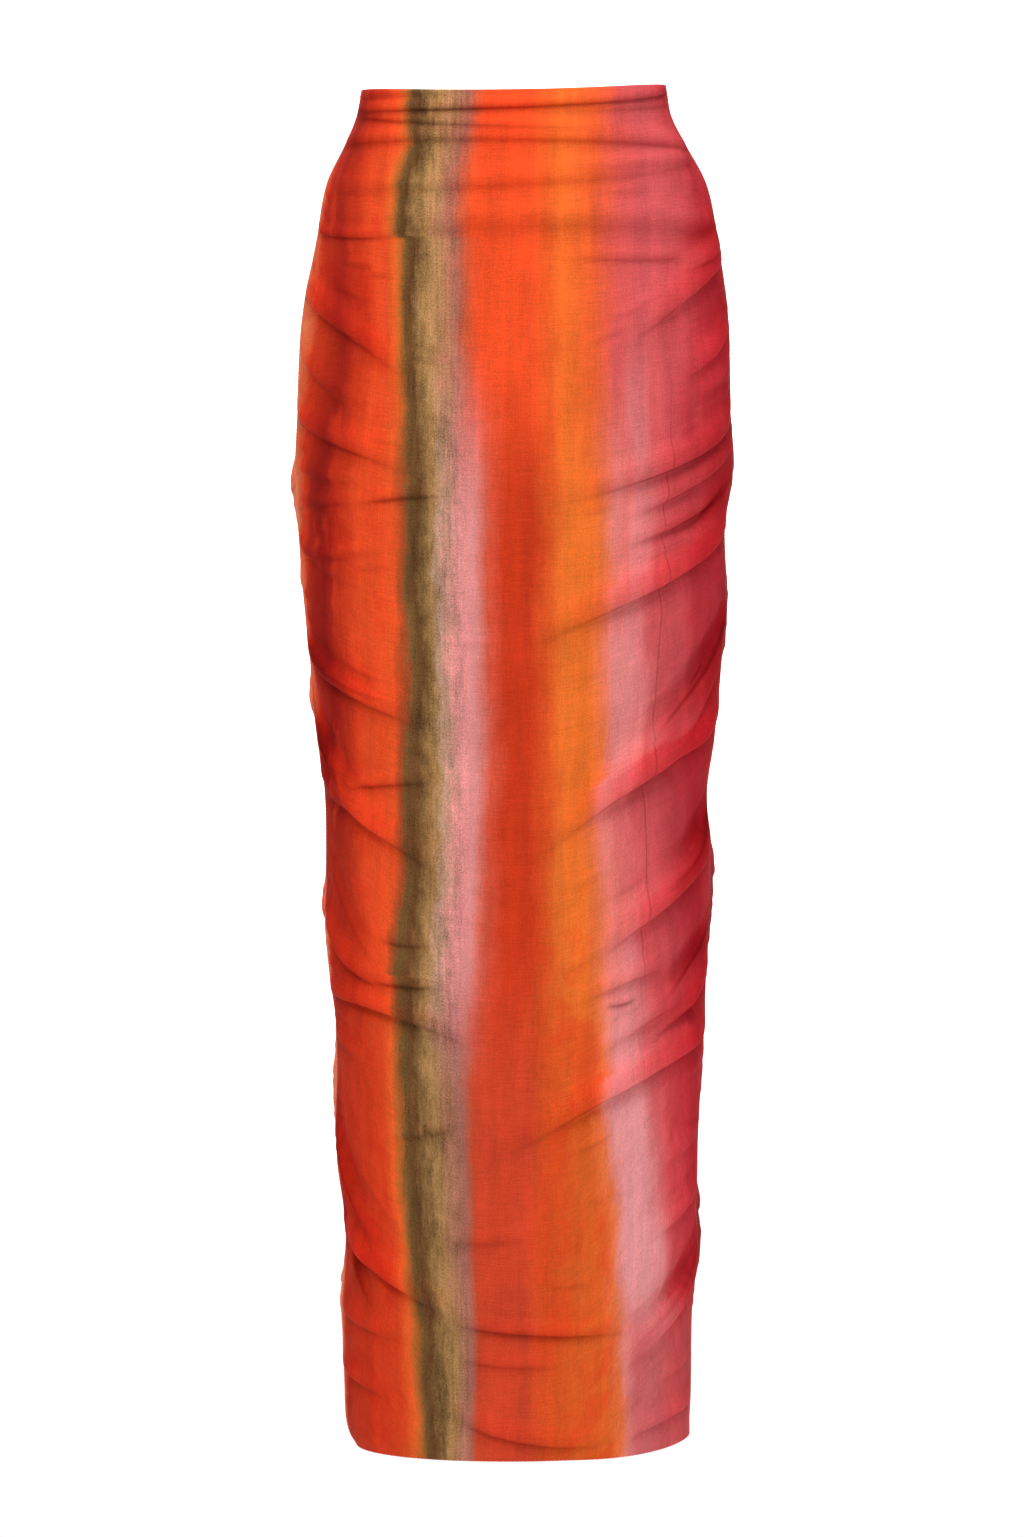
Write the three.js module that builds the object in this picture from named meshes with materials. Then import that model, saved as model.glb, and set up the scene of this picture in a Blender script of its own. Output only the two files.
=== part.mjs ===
// A floor-length sarong: thin cloth wrapped round the hips into a narrow column and gathered
// down both sides, so that its folds sag across the front and the back in long swags.
// Millimetres, +Z up. The front faces -Y and the origin is the middle of the waist opening.
import * as THREE from 'three';

// Driving sizes
const HEM_DROP = 1082; // from the waist edge down to the hem
const WAIST_DIP = 6; // how much lower the waist edge sits at the front centre
const WAIST_TILT = 2; // how much higher it sits at the right side, and lower at the left
const WALL = 2; // the outer cloth
const LAP_WALL = 1.2; // the inner end of the wrap
const SEAM_GAP = 0.3; // between the front's and the back's edges
const LAP_GAP = 0.4; // between the front's inner face and the inner end
const ROUNDNESS = 2.2; // exponent of the section's outline, where 2 is an ellipse
const SEAM_HOLD = 16; // degrees from a side seam over which its stitching flattens the folds
const MOST_LIFT = 12; // that folds which lie on each other can build up to

// Grid of the cloth: columns run down it, rows run round it and sag with the swags
const FRONT_COLUMNS = 24;
const FRONT_ROWS = 70;
const BACK_COLUMNS = 20;
const BACK_ROWS = 46;
const LAP_COLUMNS = 6; // the inner end reaches this many of the front's columns in from its seam
const ROW_SWAG = 60; // most that a row sags between the sides and the centre
const SEAM_CROWDING = 0.4; // share by which the back's columns crowd towards the side seams

// Half-widths and depths from the upright axis, at each drop below the waist edge
const SECTIONS = [
  { drop: 0, left: 121, right: 121, front: 84, back: 88 },
  { drop: 22, left: 125, right: 125, front: 87, back: 93 },
  { drop: 42, left: 133, right: 135, front: 90, back: 99 },
  { drop: 76, left: 149, right: 153, front: 94, back: 108 },
  { drop: 120, left: 157, right: 162, front: 97, back: 116 },
  { drop: 177, left: 168, right: 170, front: 99, back: 122 },
  { drop: 235, left: 172, right: 172, front: 100, back: 122 },
  { drop: 300, left: 172, right: 171, front: 99, back: 117 },
  { drop: 345, left: 170, right: 168, front: 97, back: 113 },
  { drop: 400, left: 166, right: 166, front: 95, back: 109 },
  { drop: 460, left: 160, right: 162, front: 93, back: 106 },
  { drop: 515, left: 155, right: 157, front: 91, back: 103 },
  { drop: 560, left: 149, right: 151, front: 90, back: 101 },
  { drop: 614, left: 148, right: 151, front: 89, back: 99 },
  { drop: 690, left: 147, right: 151, front: 88, back: 98 },
  { drop: 750, left: 142, right: 149, front: 87, back: 97 },
  { drop: 849, left: 139, right: 146, front: 87, back: 97 },
  { drop: 916, left: 135, right: 144, front: 87, back: 97 },
  { drop: 972, left: 138, right: 143, front: 88, back: 98 },
  { drop: 1040, left: 136, right: 142, front: 89, back: 99 },
  { drop: 1082, left: 132, right: 141, front: 90, back: 100 },
];

// Folds of the front. Each one runs from an angle and drop to another, in degrees round from
// the front centre, right side positive, and sags between them. High and wide size its ridge,
// which falls away steeply into a crease along the line of the fold.
const FRONT_FOLDS = [
  { from: 88, at: 3, to: -88, end: 20, sag: 9, high: 3.5, wide: 15 },
  { from: -88, at: 21, to: 60, end: 36, sag: 6, high: 3, wide: 15 },
  { from: 88, at: 47, to: -88, end: 49, sag: -3, high: 3.5, wide: 22 },
  { from: 88, at: 58, to: -80, end: 84, sag: 10, high: 3, wide: 24 },
  { from: 88, at: 117, to: -70, end: 119, sag: -6, high: 4, wide: 30 },
  { from: -89, at: 120, to: 2, end: 130, sag: 0, high: 4, wide: 22 },
  { from: 88, at: 128, to: 38, end: 152, sag: 0, high: 5.5, wide: 24 },
  { from: 89, at: 142, to: 17, end: 242, sag: -18, high: 8.5, wide: 36 },
  { from: 89, at: 182, to: 44, end: 233, sag: 0, high: 7, wide: 32 },
  { from: -89, at: 163, to: -32, end: 206, sag: 0, high: 5.5, wide: 28 },
  { from: -89, at: 186, to: -20, end: 248, sag: -10, high: 7, wide: 32 },
  { from: -89, at: 256, to: -18, end: 308, sag: 5, high: 5.5, wide: 30 },
  { from: 89, at: 258, to: 2, end: 322, sag: 6, high: 7, wide: 32 },
  { from: 89, at: 286, to: 27, end: 343, sag: 8, high: 5.5, wide: 28 },
  { from: -89, at: 322, to: 12, end: 322, sag: 6, high: 4, wide: 28 },
  { from: 89, at: 316, to: 42, end: 376, sag: 0, high: 5.5, wide: 28 },
  { from: 90, at: 338, to: -24, end: 470, sag: -5, high: 11, wide: 42 },
  { from: -89, at: 350, to: -42, end: 400, sag: 0, high: 5.5, wide: 30 },
  { from: 89, at: 388, to: 38, end: 512, sag: 18, high: 8.5, wide: 38 },
  { from: -90, at: 424, to: -10, end: 516, sag: 10, high: 10, wide: 36 },
  { from: -89, at: 474, to: -10, end: 600, sag: 28, high: 8.5, wide: 38 },
  { from: -56, at: 552, to: 44, end: 518, sag: 4, high: 4, wide: 28 },
  { from: 90, at: 468, to: -4, end: 626, sag: -8, high: 12.5, wide: 46 },
  { from: -89, at: 546, to: -14, end: 630, sag: -5, high: 8.5, wide: 34 },
  { from: 90, at: 560, to: 15, end: 694, sag: -5, high: 11, wide: 38 },
  { from: -89, at: 582, to: -40, end: 706, sag: 0, high: 7, wide: 32 },
  { from: -89, at: 636, to: 28, end: 684, sag: 42, high: 7, wide: 34 },
  { from: 89, at: 640, to: 36, end: 728, sag: 0, high: 5.5, wide: 30 },
  { from: 90, at: 684, to: 32, end: 770, sag: -6, high: 8.5, wide: 36 },
  { from: -90, at: 708, to: 4, end: 760, sag: -8, high: 8.5, wide: 32 },
  { from: -89, at: 742, to: -20, end: 822, sag: 0, high: 5.5, wide: 28 },
  { from: 90, at: 744, to: -27, end: 862, sag: -6, high: 11, wide: 42 },
  { from: -89, at: 786, to: -18, end: 940, sag: 45, high: 8.5, wide: 36 },
  { from: 89, at: 820, to: 34, end: 866, sag: 4, high: 5.5, wide: 32 },
  { from: 89, at: 868, to: 37, end: 918, sag: 0, high: 5.5, wide: 30 },
  { from: -90, at: 892, to: 46, end: 972, sag: 36, high: 8.5, wide: 34 },
  { from: 90, at: 884, to: 10, end: 1022, sag: 8, high: 10, wide: 38 },
  { from: -89, at: 952, to: 34, end: 1002, sag: 22, high: 5.5, wide: 30 },
  { from: 88, at: 1000, to: 46, end: 1026, sag: 0, high: 4, wide: 26 },
  { from: -90, at: 1012, to: 30, end: 1062, sag: 16, high: 8.5, wide: 32 },
  { from: 89, at: 1036, to: 18, end: 1062, sag: 0, high: 4, wide: 24 },
];

// Folds of the back, read the same way, in degrees round from the back centre with the
// left side positive
const BACK_FOLDS = [
  { from: -88, at: 14, to: 88, end: 6, sag: 8, high: 3, wide: 18 },
  { from: 88, at: 40, to: -70, end: 52, sag: 4, high: 3, wide: 24 },
  { from: -88, at: 84, to: 80, end: 92, sag: 10, high: 3.5, wide: 30 },
  { from: 89, at: 134, to: 10, end: 190, sag: -4, high: 5.5, wide: 36 },
  { from: -89, at: 150, to: -14, end: 214, sag: -6, high: 7, wide: 38 },
  { from: 89, at: 204, to: -8, end: 282, sag: 0, high: 8.5, wide: 40 },
  { from: -89, at: 262, to: -20, end: 326, sag: 4, high: 7, wide: 38 },
  { from: -90, at: 326, to: 26, end: 420, sag: 6, high: 10, wide: 44 },
  { from: 89, at: 312, to: 34, end: 372, sag: 0, high: 7, wide: 36 },
  { from: 90, at: 392, to: -12, end: 486, sag: 0, high: 10, wide: 44 },
  { from: -89, at: 440, to: -26, end: 520, sag: 8, high: 7, wide: 38 },
  { from: 90, at: 478, to: 14, end: 572, sag: 12, high: 8.5, wide: 42 },
  { from: -90, at: 520, to: 8, end: 622, sag: 0, high: 11, wide: 46 },
  { from: 89, at: 566, to: 22, end: 652, sag: 4, high: 7, wide: 38 },
  { from: -89, at: 616, to: -22, end: 700, sag: 6, high: 8.5, wide: 40 },
  { from: 90, at: 648, to: -16, end: 744, sag: 10, high: 10, wide: 44 },
  { from: -90, at: 706, to: 18, end: 796, sag: 4, high: 10, wide: 44 },
  { from: 89, at: 752, to: 26, end: 836, sag: 0, high: 7, wide: 38 },
  { from: -89, at: 800, to: -12, end: 884, sag: 6, high: 8.5, wide: 40 },
  { from: 90, at: 838, to: -8, end: 922, sag: 16, high: 10, wide: 42 },
  { from: -90, at: 886, to: 14, end: 966, sag: 10, high: 8.5, wide: 42 },
  { from: 89, at: 930, to: 20, end: 1004, sag: 8, high: 7, wide: 36 },
  { from: -89, at: 974, to: 24, end: 1036, sag: 14, high: 7, wide: 36 },
  { from: 89, at: 1020, to: -6, end: 1062, sag: 10, high: 5.5, wide: 30 },
];

// Lobes where the back's gathered cloth stands out past the front's edge, on its left or
// right side, each centred at a drop and half as long as its reach up and down
const LOBES = [
  { side: 'left', drop: 160, out: 3, reach: 26 },
  { side: 'left', drop: 318, out: 8, reach: 34 },
  { side: 'left', drop: 402, out: 6, reach: 30 },
  { side: 'left', drop: 470, out: 5, reach: 26 },
  { side: 'left', drop: 522, out: 6, reach: 24 },
  { side: 'left', drop: 655, out: 7, reach: 44 },
  { side: 'left', drop: 792, out: 8, reach: 40 },
  { side: 'left', drop: 962, out: 5, reach: 30 },
  { side: 'right', drop: 185, out: 3, reach: 30 },
  { side: 'right', drop: 290, out: 5, reach: 44 },
  { side: 'right', drop: 418, out: 6, reach: 52 },
  { side: 'right', drop: 612, out: 9, reach: 46 },
  { side: 'right', drop: 780, out: 4, reach: 34 },
  { side: 'right', drop: 912, out: 7, reach: 38 },
];
const LOBE_PEAK = 11; // degrees behind the seam where a lobe stands out most
const LOBE_SPREAD = 15; // degrees over which it sinks back into the cloth

// Shape of a fold across its line, in shares of its width, where negative is above the line
const CREST = { centre: -0.45, spread: 0.38, level: 1 };
const TROUGH = { centre: 0.12, spread: 0.22, level: -0.4 };
const HELD_FROM = 55; // an end further round than this is drawn up to a seam
const HELD_FULL = 85;
const FREE_START = 0.3; // share of its length over which a free start swells
const FREE_END = 0.5; // and over which the far end dies out
const ARC_PER_DEGREE = 2.3; // mean length of cloth in one degree round
const SEAM_ANGLE = 90;

const lerp = THREE.MathUtils.lerp;
const smoothstep = THREE.MathUtils.smoothstep;

function bell(value, { centre, spread, level }) {
  return level * Math.exp(-(((value - centre) / spread) ** 2));
}

// One column of the section table at a drop, on a smooth curve through its rows
function sectionValue(column, drop) {
  const last = SECTIONS.length - 2;
  let row = 0;
  while (row < last && drop > SECTIONS[row + 1].drop) row += 1;
  const here = SECTIONS[row];
  const next = SECTIONS[row + 1];
  const before = SECTIONS[Math.max(row - 1, 0)];
  const after = SECTIONS[Math.min(row + 2, SECTIONS.length - 1)];
  const span = next.drop - here.drop;
  const share = (drop - here.drop) / span;
  const leave = ((next[column] - before[column]) / (next.drop - before.drop)) * span;
  const arrive = ((after[column] - here[column]) / (after.drop - here.drop)) * span;
  const square = share * share;
  const cube = square * share;
  return (
    here[column] * (2 * cube - 3 * square + 1) +
    leave * (cube - 2 * square + share) +
    next[column] * (3 * square - 2 * cube) +
    arrive * (cube - square)
  );
}

// How far a fold lifts the cloth at an angle and a drop
function foldLift(fold, angle, drop) {
  const along = (angle - fold.from) / (fold.to - fold.from);
  if (along <= 0 || along >= 1) return 0;
  const line = lerp(fold.at, fold.end, along) + 4 * fold.sag * along * (1 - along);
  const fall = fold.end - fold.at + 4 * fold.sag * (1 - 2 * along);
  const slope = fall / (ARC_PER_DEGREE * (fold.to - fold.from));
  const across = (drop - line) / (fold.wide * Math.hypot(1, slope));
  const heldStart = smoothstep(Math.abs(fold.from), HELD_FROM, HELD_FULL);
  const heldEnd = smoothstep(Math.abs(fold.to), HELD_FROM, HELD_FULL);
  const swell = lerp(smoothstep(along, 0, FREE_START), 1, heldStart);
  const fade = lerp(smoothstep(1 - along, 0, FREE_END), 1, heldEnd);
  return fold.high * swell * fade * (bell(across, CREST) + bell(across, TROUGH));
}

// How far a lobe lifts the back's cloth, a given number of degrees behind its seam
function lobeLift(lobe, side, behind, drop) {
  if (lobe.side !== side) return 0;
  const rise = smoothstep(behind, 0, LOBE_PEAK);
  const sink = Math.exp(-((Math.max(behind - LOBE_PEAK, 0) / LOBE_SPREAD) ** 2));
  return lobe.out * rise * sink * Math.exp(-(((drop - lobe.drop) / lobe.reach) ** 2));
}

// Lift of all the folds in a table, eased towards the most there can be
function foldsLift(folds, angle, drop) {
  const held = smoothstep(SEAM_ANGLE - Math.abs(angle), 0, SEAM_HOLD);
  const sum = folds.reduce((total, fold) => total + foldLift(fold, angle, drop), 0);
  return held * MOST_LIFT * Math.tanh(sum / MOST_LIFT);
}

function frontLift(angle, drop) {
  return foldsLift(FRONT_FOLDS, angle, drop);
}

function backLift(angle, drop) {
  const behind = SEAM_ANGLE - Math.abs(angle);
  const side = angle > 0 ? 'left' : 'right';
  const lobes = LOBES.reduce((sum, lobe) => sum + lobeLift(lobe, side, behind, drop), 0);
  return lobes + foldsLift(BACK_FOLDS, angle, drop);
}

// The front and the back each have angles from -90 to 90 about their own centre
const FRONT = { depth: 'front', facing: -1, lift: frontLift, dip: WAIST_DIP };
const BACK = { depth: 'back', facing: 1, lift: backLift, dip: 0 };

// A point of the cloth at an angle and a drop, moved inwards from its outer face
function clothPoint(half, angle, drop, inwards) {
  const turn = THREE.MathUtils.degToRad(angle);
  const across = Math.sin(turn);
  const ahead = Math.max(Math.cos(turn), 0);
  const sideways = -half.facing * Math.sign(across);
  const width = sectionValue(sideways < 0 ? 'left' : 'right', drop);
  const depth = sectionValue(half.depth, drop);
  const reach = 2 / ROUNDNESS;
  const normalReach = reach * (ROUNDNESS - 1);
  const x = sideways * width * Math.abs(across) ** reach;
  const y = half.facing * depth * ahead ** reach;
  const outX = (sideways * Math.abs(across) ** normalReach) / width;
  const outY = (half.facing * ahead ** normalReach) / depth;
  const shift = (half.lift(angle, drop) - inwards) / Math.hypot(outX, outY);
  const seam = SEAM_GAP / 2;
  const clearY = half.facing * Math.max(half.facing * (y + outY * shift), seam);
  return [x + outX * shift, clearY, -drop];
}

function rowDrop(half, row, rows, angle) {
  const turn = THREE.MathUtils.degToRad(angle);
  const share = row / rows;
  const top = half.dip * Math.cos(turn) ** 2 + half.facing * WAIST_TILT * Math.sin(turn);
  const swag = ROW_SWAG * Math.sin(Math.PI * share) * (Math.cos(turn) ** 2 - 0.5);
  return lerp(top, HEM_DROP, share) + swag;
}

// A closed wall of cloth over a grid of angles and rows, between two depths below its face
function clothWall(half, angles, rows, outer, inner) {
  const columns = angles.length - 1;
  const positions = [];
  for (const inwards of [outer, inner]) {
    for (let row = 0; row <= rows; row += 1) {
      for (const angle of angles) {
        positions.push(...clothPoint(half, angle, rowDrop(half, row, rows, angle), inwards));
      }
    }
  }
  const wide = columns + 1;
  const layer = wide * (rows + 1);
  const indices = [];
  const quad = (a, b, c, d) => indices.push(a, b, c, a, c, d);
  for (let row = 0; row < rows; row += 1) {
    for (let column = 0; column < columns; column += 1) {
      const a = row * wide + column;
      indices.push(a, a + wide, a + wide + 1, a, a + wide + 1, a + 1);
      const b = a + layer;
      indices.push(b, b + wide + 1, b + wide, b, b + 1, b + wide + 1);
    }
  }
  for (let column = 0; column < columns; column += 1) {
    const top = column;
    const hem = rows * wide + column;
    quad(top, top + 1, top + 1 + layer, top + layer);
    quad(hem, hem + layer, hem + 1 + layer, hem + 1);
  }
  for (let row = 0; row < rows; row += 1) {
    const start = row * wide;
    const end = start + columns;
    quad(start, start + layer, start + wide + layer, start + wide);
    quad(end, end + wide, end + wide + layer, end + layer);
  }
  const geometry = new THREE.BufferGeometry();
  geometry.setAttribute('position', new THREE.Float32BufferAttribute(positions, 3));
  geometry.setIndex(indices);
  return geometry;
}

// Angles of the columns, crowded towards the seams by a share of their even spacing
function columnAngles(columns, crowding) {
  return Array.from({ length: columns + 1 }, (_, index) => {
    const even = (2 * index) / columns - 1;
    return SEAM_ANGLE * lerp(even, Math.sin((Math.PI / 2) * even), crowding);
  });
}

function cloth(name, geometry, color) {
  const material = new THREE.MeshStandardMaterial({ color, roughness: 0.85, metalness: 0 });
  const mesh = new THREE.Mesh(geometry, material);
  mesh.name = name;
  return mesh;
}

const frontAngles = columnAngles(FRONT_COLUMNS, 0);
const backAngles = columnAngles(BACK_COLUMNS, SEAM_CROWDING);
const lapAngles = frontAngles.slice(FRONT_COLUMNS - LAP_COLUMNS);
const lapOuter = WALL + LAP_GAP;
const frontWall = clothWall(FRONT, frontAngles, FRONT_ROWS, 0, WALL);
const backWall = clothWall(BACK, backAngles, BACK_ROWS, 0, WALL);
const lapWall = clothWall(FRONT, lapAngles, FRONT_ROWS, lapOuter, lapOuter + LAP_WALL);

const sarong = new THREE.Group();
sarong.add(cloth('front_wrap', frontWall, 0xe4512a));
sarong.add(cloth('back_wrap', backWall, 0xc53a22));
sarong.add(cloth('under_lap', lapWall, 0xb8463e));

export default sarong;
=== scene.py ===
"""A floor-length sarong of thin dip-dyed voile, gathered down both sides, dressed over its frame."""

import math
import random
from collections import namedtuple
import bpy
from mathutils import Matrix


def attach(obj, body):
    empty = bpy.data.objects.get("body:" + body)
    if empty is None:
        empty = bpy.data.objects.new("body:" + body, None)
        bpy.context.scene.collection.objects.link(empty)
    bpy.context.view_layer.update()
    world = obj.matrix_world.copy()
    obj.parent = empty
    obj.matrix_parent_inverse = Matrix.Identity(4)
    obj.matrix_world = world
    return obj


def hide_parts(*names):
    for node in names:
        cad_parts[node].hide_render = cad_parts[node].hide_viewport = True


bl_info = {
    "name": "Gathered Sarong",
    "version": (1, 0, 0),
    "blender": (4, 5, 0),
    "location": "View3D > Sidebar > Sarong",
    "description": "Drapes the panels, edges and stitching of a gathered sarong over its packed frame",
    "category": "Object",
}

import bmesh
import bpy
import numpy as np
from mathutils import Vector

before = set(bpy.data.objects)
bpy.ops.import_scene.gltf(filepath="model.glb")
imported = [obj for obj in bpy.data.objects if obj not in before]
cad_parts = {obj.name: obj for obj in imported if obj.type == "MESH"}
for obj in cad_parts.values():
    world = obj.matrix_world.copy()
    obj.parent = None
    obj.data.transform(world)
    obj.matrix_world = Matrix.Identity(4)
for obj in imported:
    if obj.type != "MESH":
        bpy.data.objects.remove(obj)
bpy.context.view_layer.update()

MM = 0.001

# Sizes of the draped cloth, in millimetres and degrees, as in the frame
HEM_DROP = 1082.0
WAIST_DIP = 6.0
WAIST_TILT = 2.0
HEM_RISE, RISE_REACH = 8.0, 90.0
ROUNDNESS = 2.2
SEAM_ANGLE = 90.0
SEAM_HOLD = 28.0
SEAM_GAP = 0.2
WAIST_REACH = 60.0
MOST_LIFT = 12.0
ARC_PER_DEGREE = 2.3

Section = namedtuple("Section", "drop left right front back")
SECTIONS = [
    Section(0, 121, 121, 84, 88),
    Section(22, 125, 125, 87, 93),
    Section(42, 133, 135, 90, 99),
    Section(76, 149, 153, 94, 108),
    Section(120, 157, 162, 97, 116),
    Section(177, 168, 170, 99, 122),
    Section(235, 172, 172, 100, 122),
    Section(300, 172, 171, 99, 117),
    Section(345, 170, 165, 97, 113),
    Section(400, 166, 166, 95, 109),
    Section(460, 160, 162, 93, 106),
    Section(515, 155, 157, 91, 103),
    Section(560, 149, 151, 90, 101),
    Section(614, 148, 154, 89, 99),
    Section(690, 147, 151, 88, 98),
    Section(750, 140, 149, 87, 97),
    Section(849, 140, 144, 87, 97),
    Section(916, 135, 147, 87, 97),
    Section(972, 138, 143, 88, 98),
    Section(1040, 136, 142, 89, 99),
    Section(1062, 135, 141, 90, 100),
    Section(1074, 132, 141, 90, 100),
    Section(1082, 127, 140, 90, 100),
]

# A fold runs from an angle and drop to another and sags between them. Its ridge has a lift
# and a width, laps down over its crease by so much, darkens the crease by so much painted
# shade, and slips the dyed pattern sideways below it. A negative lift is the upper edge of a
# roll, which dips above it.
Fold = namedtuple("Fold", "start at stop end sag lift width lap crease slip", defaults=(0,))
FRONT_FOLDS = [Fold(*row) for row in (
    # the waist, where the wrapped layers cross
    (-88, 10, -8, 11, -1, 1.5, 8, 0, 0.4),
    (88, 2, -80, 19, 9, 3, 12, 2.5, 0.9),
    (-88, 21, 52, 36, 5, 2.5, 12, 2, 0.7),
    (88, 12, -10, 26, 2, 1.5, 9, 1, 0.5),
    (86, 50, -86, 47, -3, 3, 18, 2, 0.5),
    (66, 60, -10, 72, 0, 1.5, 14, 0, 0.2),
    (80, 56, -70, 84, 10, 2.5, 20, 1, 0.3),
    # the upper hips and the tuck
    (84, 115, -64, 118, -4, 2.5, 26, 0, 0.75),
    (-90, 110, -20, 120, 5, 2.5, 12, 4, 0.45),
    (56, 137, 6, 138, 1, 2, 14, 2, 0.45),
    (90, 118, 42, 155, -2, 4, 16, 4, 0.6),
    (90, 126, 60, 150, 0, 3, 12, 3, 0.5),
    (90, 130, 24, 215, -12, 7, 30, 8, 0.9, 4),
    (90, 176, 45, 238, 2, 5, 24, 7, 0.8),
    (90, 205, 52, 250, 2, 4, 18, 3, 0.3),
    (-90, 162, -20, 245, -15, 5.5, 24, 6, 0.85),
    (-88, 200, -40, 262, 0, 4, 22, 3, 0.3),
    (-88, 256, -19, 311, -2, 5, 24, 5, 0.75),
    (-88, 300, -34, 318, 0, 3, 18, 2, 0.3),
    (-90, 334, -34, 326, 0, 2.5, 14, 2, 0.4),
    (-44, 329, -12, 323, -2, 3, 12, 3, 0.7),
    (90, 255, 4, 333, 5, 6, 26, 6, 1, 2),
    (90, 274, 27, 346, 0, 5, 20, 5, 0.8),
    (72, 318, 26, 365, 4, 4, 18, 4, 0.7),
    (90, 300, 46, 366, -4, -4, 26, 8, 0.3),
    (60, 352, 30, 378, 0, 2, 12, 2, 0.3),
    (90, 340, -4, 449, -4, 9, 30, 10, 1, 6),
    # the thighs and knees
    (-88, 366, -30, 369, 4, 3, 16, 2, 0.2),
    (-89, 352, -46, 398, 0, 4, 20, 2, 0.2),
    (90, 400, 33, 531, 0, -5, 24, 8, 1),
    (90, 424, 40, 545, 0, 7, 24, 6, 0.3),
    (-90, 418, -24, 488, 12, -3, 18, 5, 0.75),
    (-90, 440, -18, 509, 4, 6, 24, 7, 0.95),
    (-90, 462, -54, 562, 4, -4, 24, 7, 0.9),
    (-90, 490, -42, 590, 6, 6, 24, 5, 0.3),
    (-60, 554, -17, 547, -1, 3, 14, 3, 0.65),
    (90, 500, 0, 615, -18, 10, 36, 11, 1, 19),
    (-90, 545, -11, 633, -7, 7, 30, 7, 0.85),
    (90, 556, 42, 640, 3, -5, 24, 9, 1),
    (90, 590, 16, 698, -4, 9, 30, 9, 1, 11),
    (-74, 618, -38, 710, 4, -3, 22, 4, 0.5),
    (-84, 650, -37, 715, 12, 6, 22, 7, 0.85),
    (-46, 671, -18, 673, 4, 3, 14, 3, 0.6),
    (-50, 704, -18, 710, 1, 3.5, 14, 4, 0.7, -5),
    (50, 696, 16, 724, -4, 4, 18, 4, 0.6),
    (38, 718, 25, 723, 2, 2.5, 9, 3, 0.9),
    (90, 655, 38, 738, -4, -4, 22, 8, 0.85),
    (90, 692, 38, 762, -2, 8, 30, 9, 1, 5),
    # the shins
    (-88, 722, -4, 765, -15, 6, 22, 7, 0.9),
    (-89, 744, -54, 776, 0, 4, 18, 4, 0.6),
    (62, 714, 22, 767, -2, 4, 22, 3, 0.3),
    (88, 750, -12, 858, -19, 8, 30, 9, 0.9, 5),
    (-46, 834, -7, 816, 0, 2.5, 14, 1, 0.2),
    (-90, 786, -46, 922, 12, -4, 26, 7, 0.8),
    (-90, 815, -36, 950, 12, 5, 24, 4, 0.2),
    (-22, 912, 8, 906, 2, 2, 14, 1, 0.3),
    (89, 868, 40, 917, 0, 4, 20, 3, 0.35),
    (89, 822, 46, 858, 2, 3, 20, 2, 0.2),
    (-82, 902, -46, 978, 2, -4, 22, 7, 0.85),
    (-88, 908, -8, 984, -6, 7, 26, 8, 0.9),
    (-21, 974, 44, 981, 6, 4, 14, 4, 0.9),
    (90, 905, 30, 1007, 3, -5, 26, 4.5, 0.6),
    (90, 930, 26, 1024, 4, 6, 26, 5, 0.3),
    # the hem
    (-88, 968, -32, 992, 2, 4, 20, 4, 0.5),
    (-18, 1003, 18, 1008, 3, 2.5, 14, 2, 0.4),
    (-89, 1016, -40, 1040, -1, 4, 18, 3, 0.4),
    (-24, 1041, 37, 1065, 17, 4, 20, 4, 0.7),
    (80, 1008, 48, 1027, 0, 3, 16, 2, 0.4),
    (80, 1050, 32, 1075, -7, 4, 16, 4, 0.7),
)]

# The back's folds, in degrees round from the back centre, the left side positive. They lap a
# little less than they are written
BACK_LAPS = 0.95
BACK_FOLDS = [Fold(*row) for row in (
    (-88, 14, 88, 6, 8, 2, 14, 3, 0.8),
    (88, 40, -70, 52, 4, 2, 18, 3, 0.5),
    (-88, 84, 80, 92, 10, 2.5, 22, 3.5, 0.4),
    (89, 134, 10, 190, -4, 2.5, 26, 3.5, 0.7, 4),
    (-89, 150, -14, 214, -6, 4.5, 28, 6, 0.8, 4),
    (70, 176, 20, 214, 0, 2, 18, 2.5, 0.4),
    (89, 204, -8, 282, 0, 6.5, 28, 8.5, 0.9, 6),
    (-70, 226, -30, 262, 0, 2, 18, 3, 0.4),
    (-89, 262, -20, 326, 4, 3, 26, 4, 0.8),
    (89, 312, 34, 372, 0, 5, 24, 6.5, 0.7),
    (-90, 326, 26, 420, 6, 7, 32, 9.5, 1, 8),
    (62, 372, 16, 410, 2, 2, 18, 3, 0.5),
    (90, 392, -12, 486, 0, 4, 30, 5, 1, 8),
    (-89, 440, -26, 520, 8, 3, 26, 4, 0.8),
    (90, 478, 14, 572, 12, 6, 28, 8, 0.8, 10),
    (-66, 500, -22, 548, 2, 2, 18, 3, 0.5),
    (-90, 520, 8, 622, 0, 7.5, 32, 10, 1, 10),
    (89, 566, 22, 652, 4, 2.5, 26, 3.5, 0.8),
    (-89, 616, -22, 700, 6, 4, 28, 5.5, 0.8, 6),
    (40, 668, -20, 672, 8, 2, 16, 2.5, 0.5),
    (90, 648, -16, 744, 10, 7, 30, 9.5, 1, 8),
    (-90, 706, 18, 796, 4, 4.5, 30, 6, 0.9, 8),
    (89, 752, 26, 836, 0, 2, 26, 3, 0.7),
    (-89, 800, -12, 884, 6, 6, 28, 8, 0.8, 6),
    (90, 838, -8, 922, 16, 3.5, 28, 4.5, 1, 8),
    (-90, 886, 14, 966, 10, 7, 28, 9, 0.9),
    (89, 930, 20, 1004, 8, 2, 24, 3, 0.8),
    (-89, 974, 24, 1036, 14, 4.5, 24, 6, 0.8),
    (89, 1020, -6, 1062, 10, 2.5, 20, 3.5, 0.7),
)]
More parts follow.
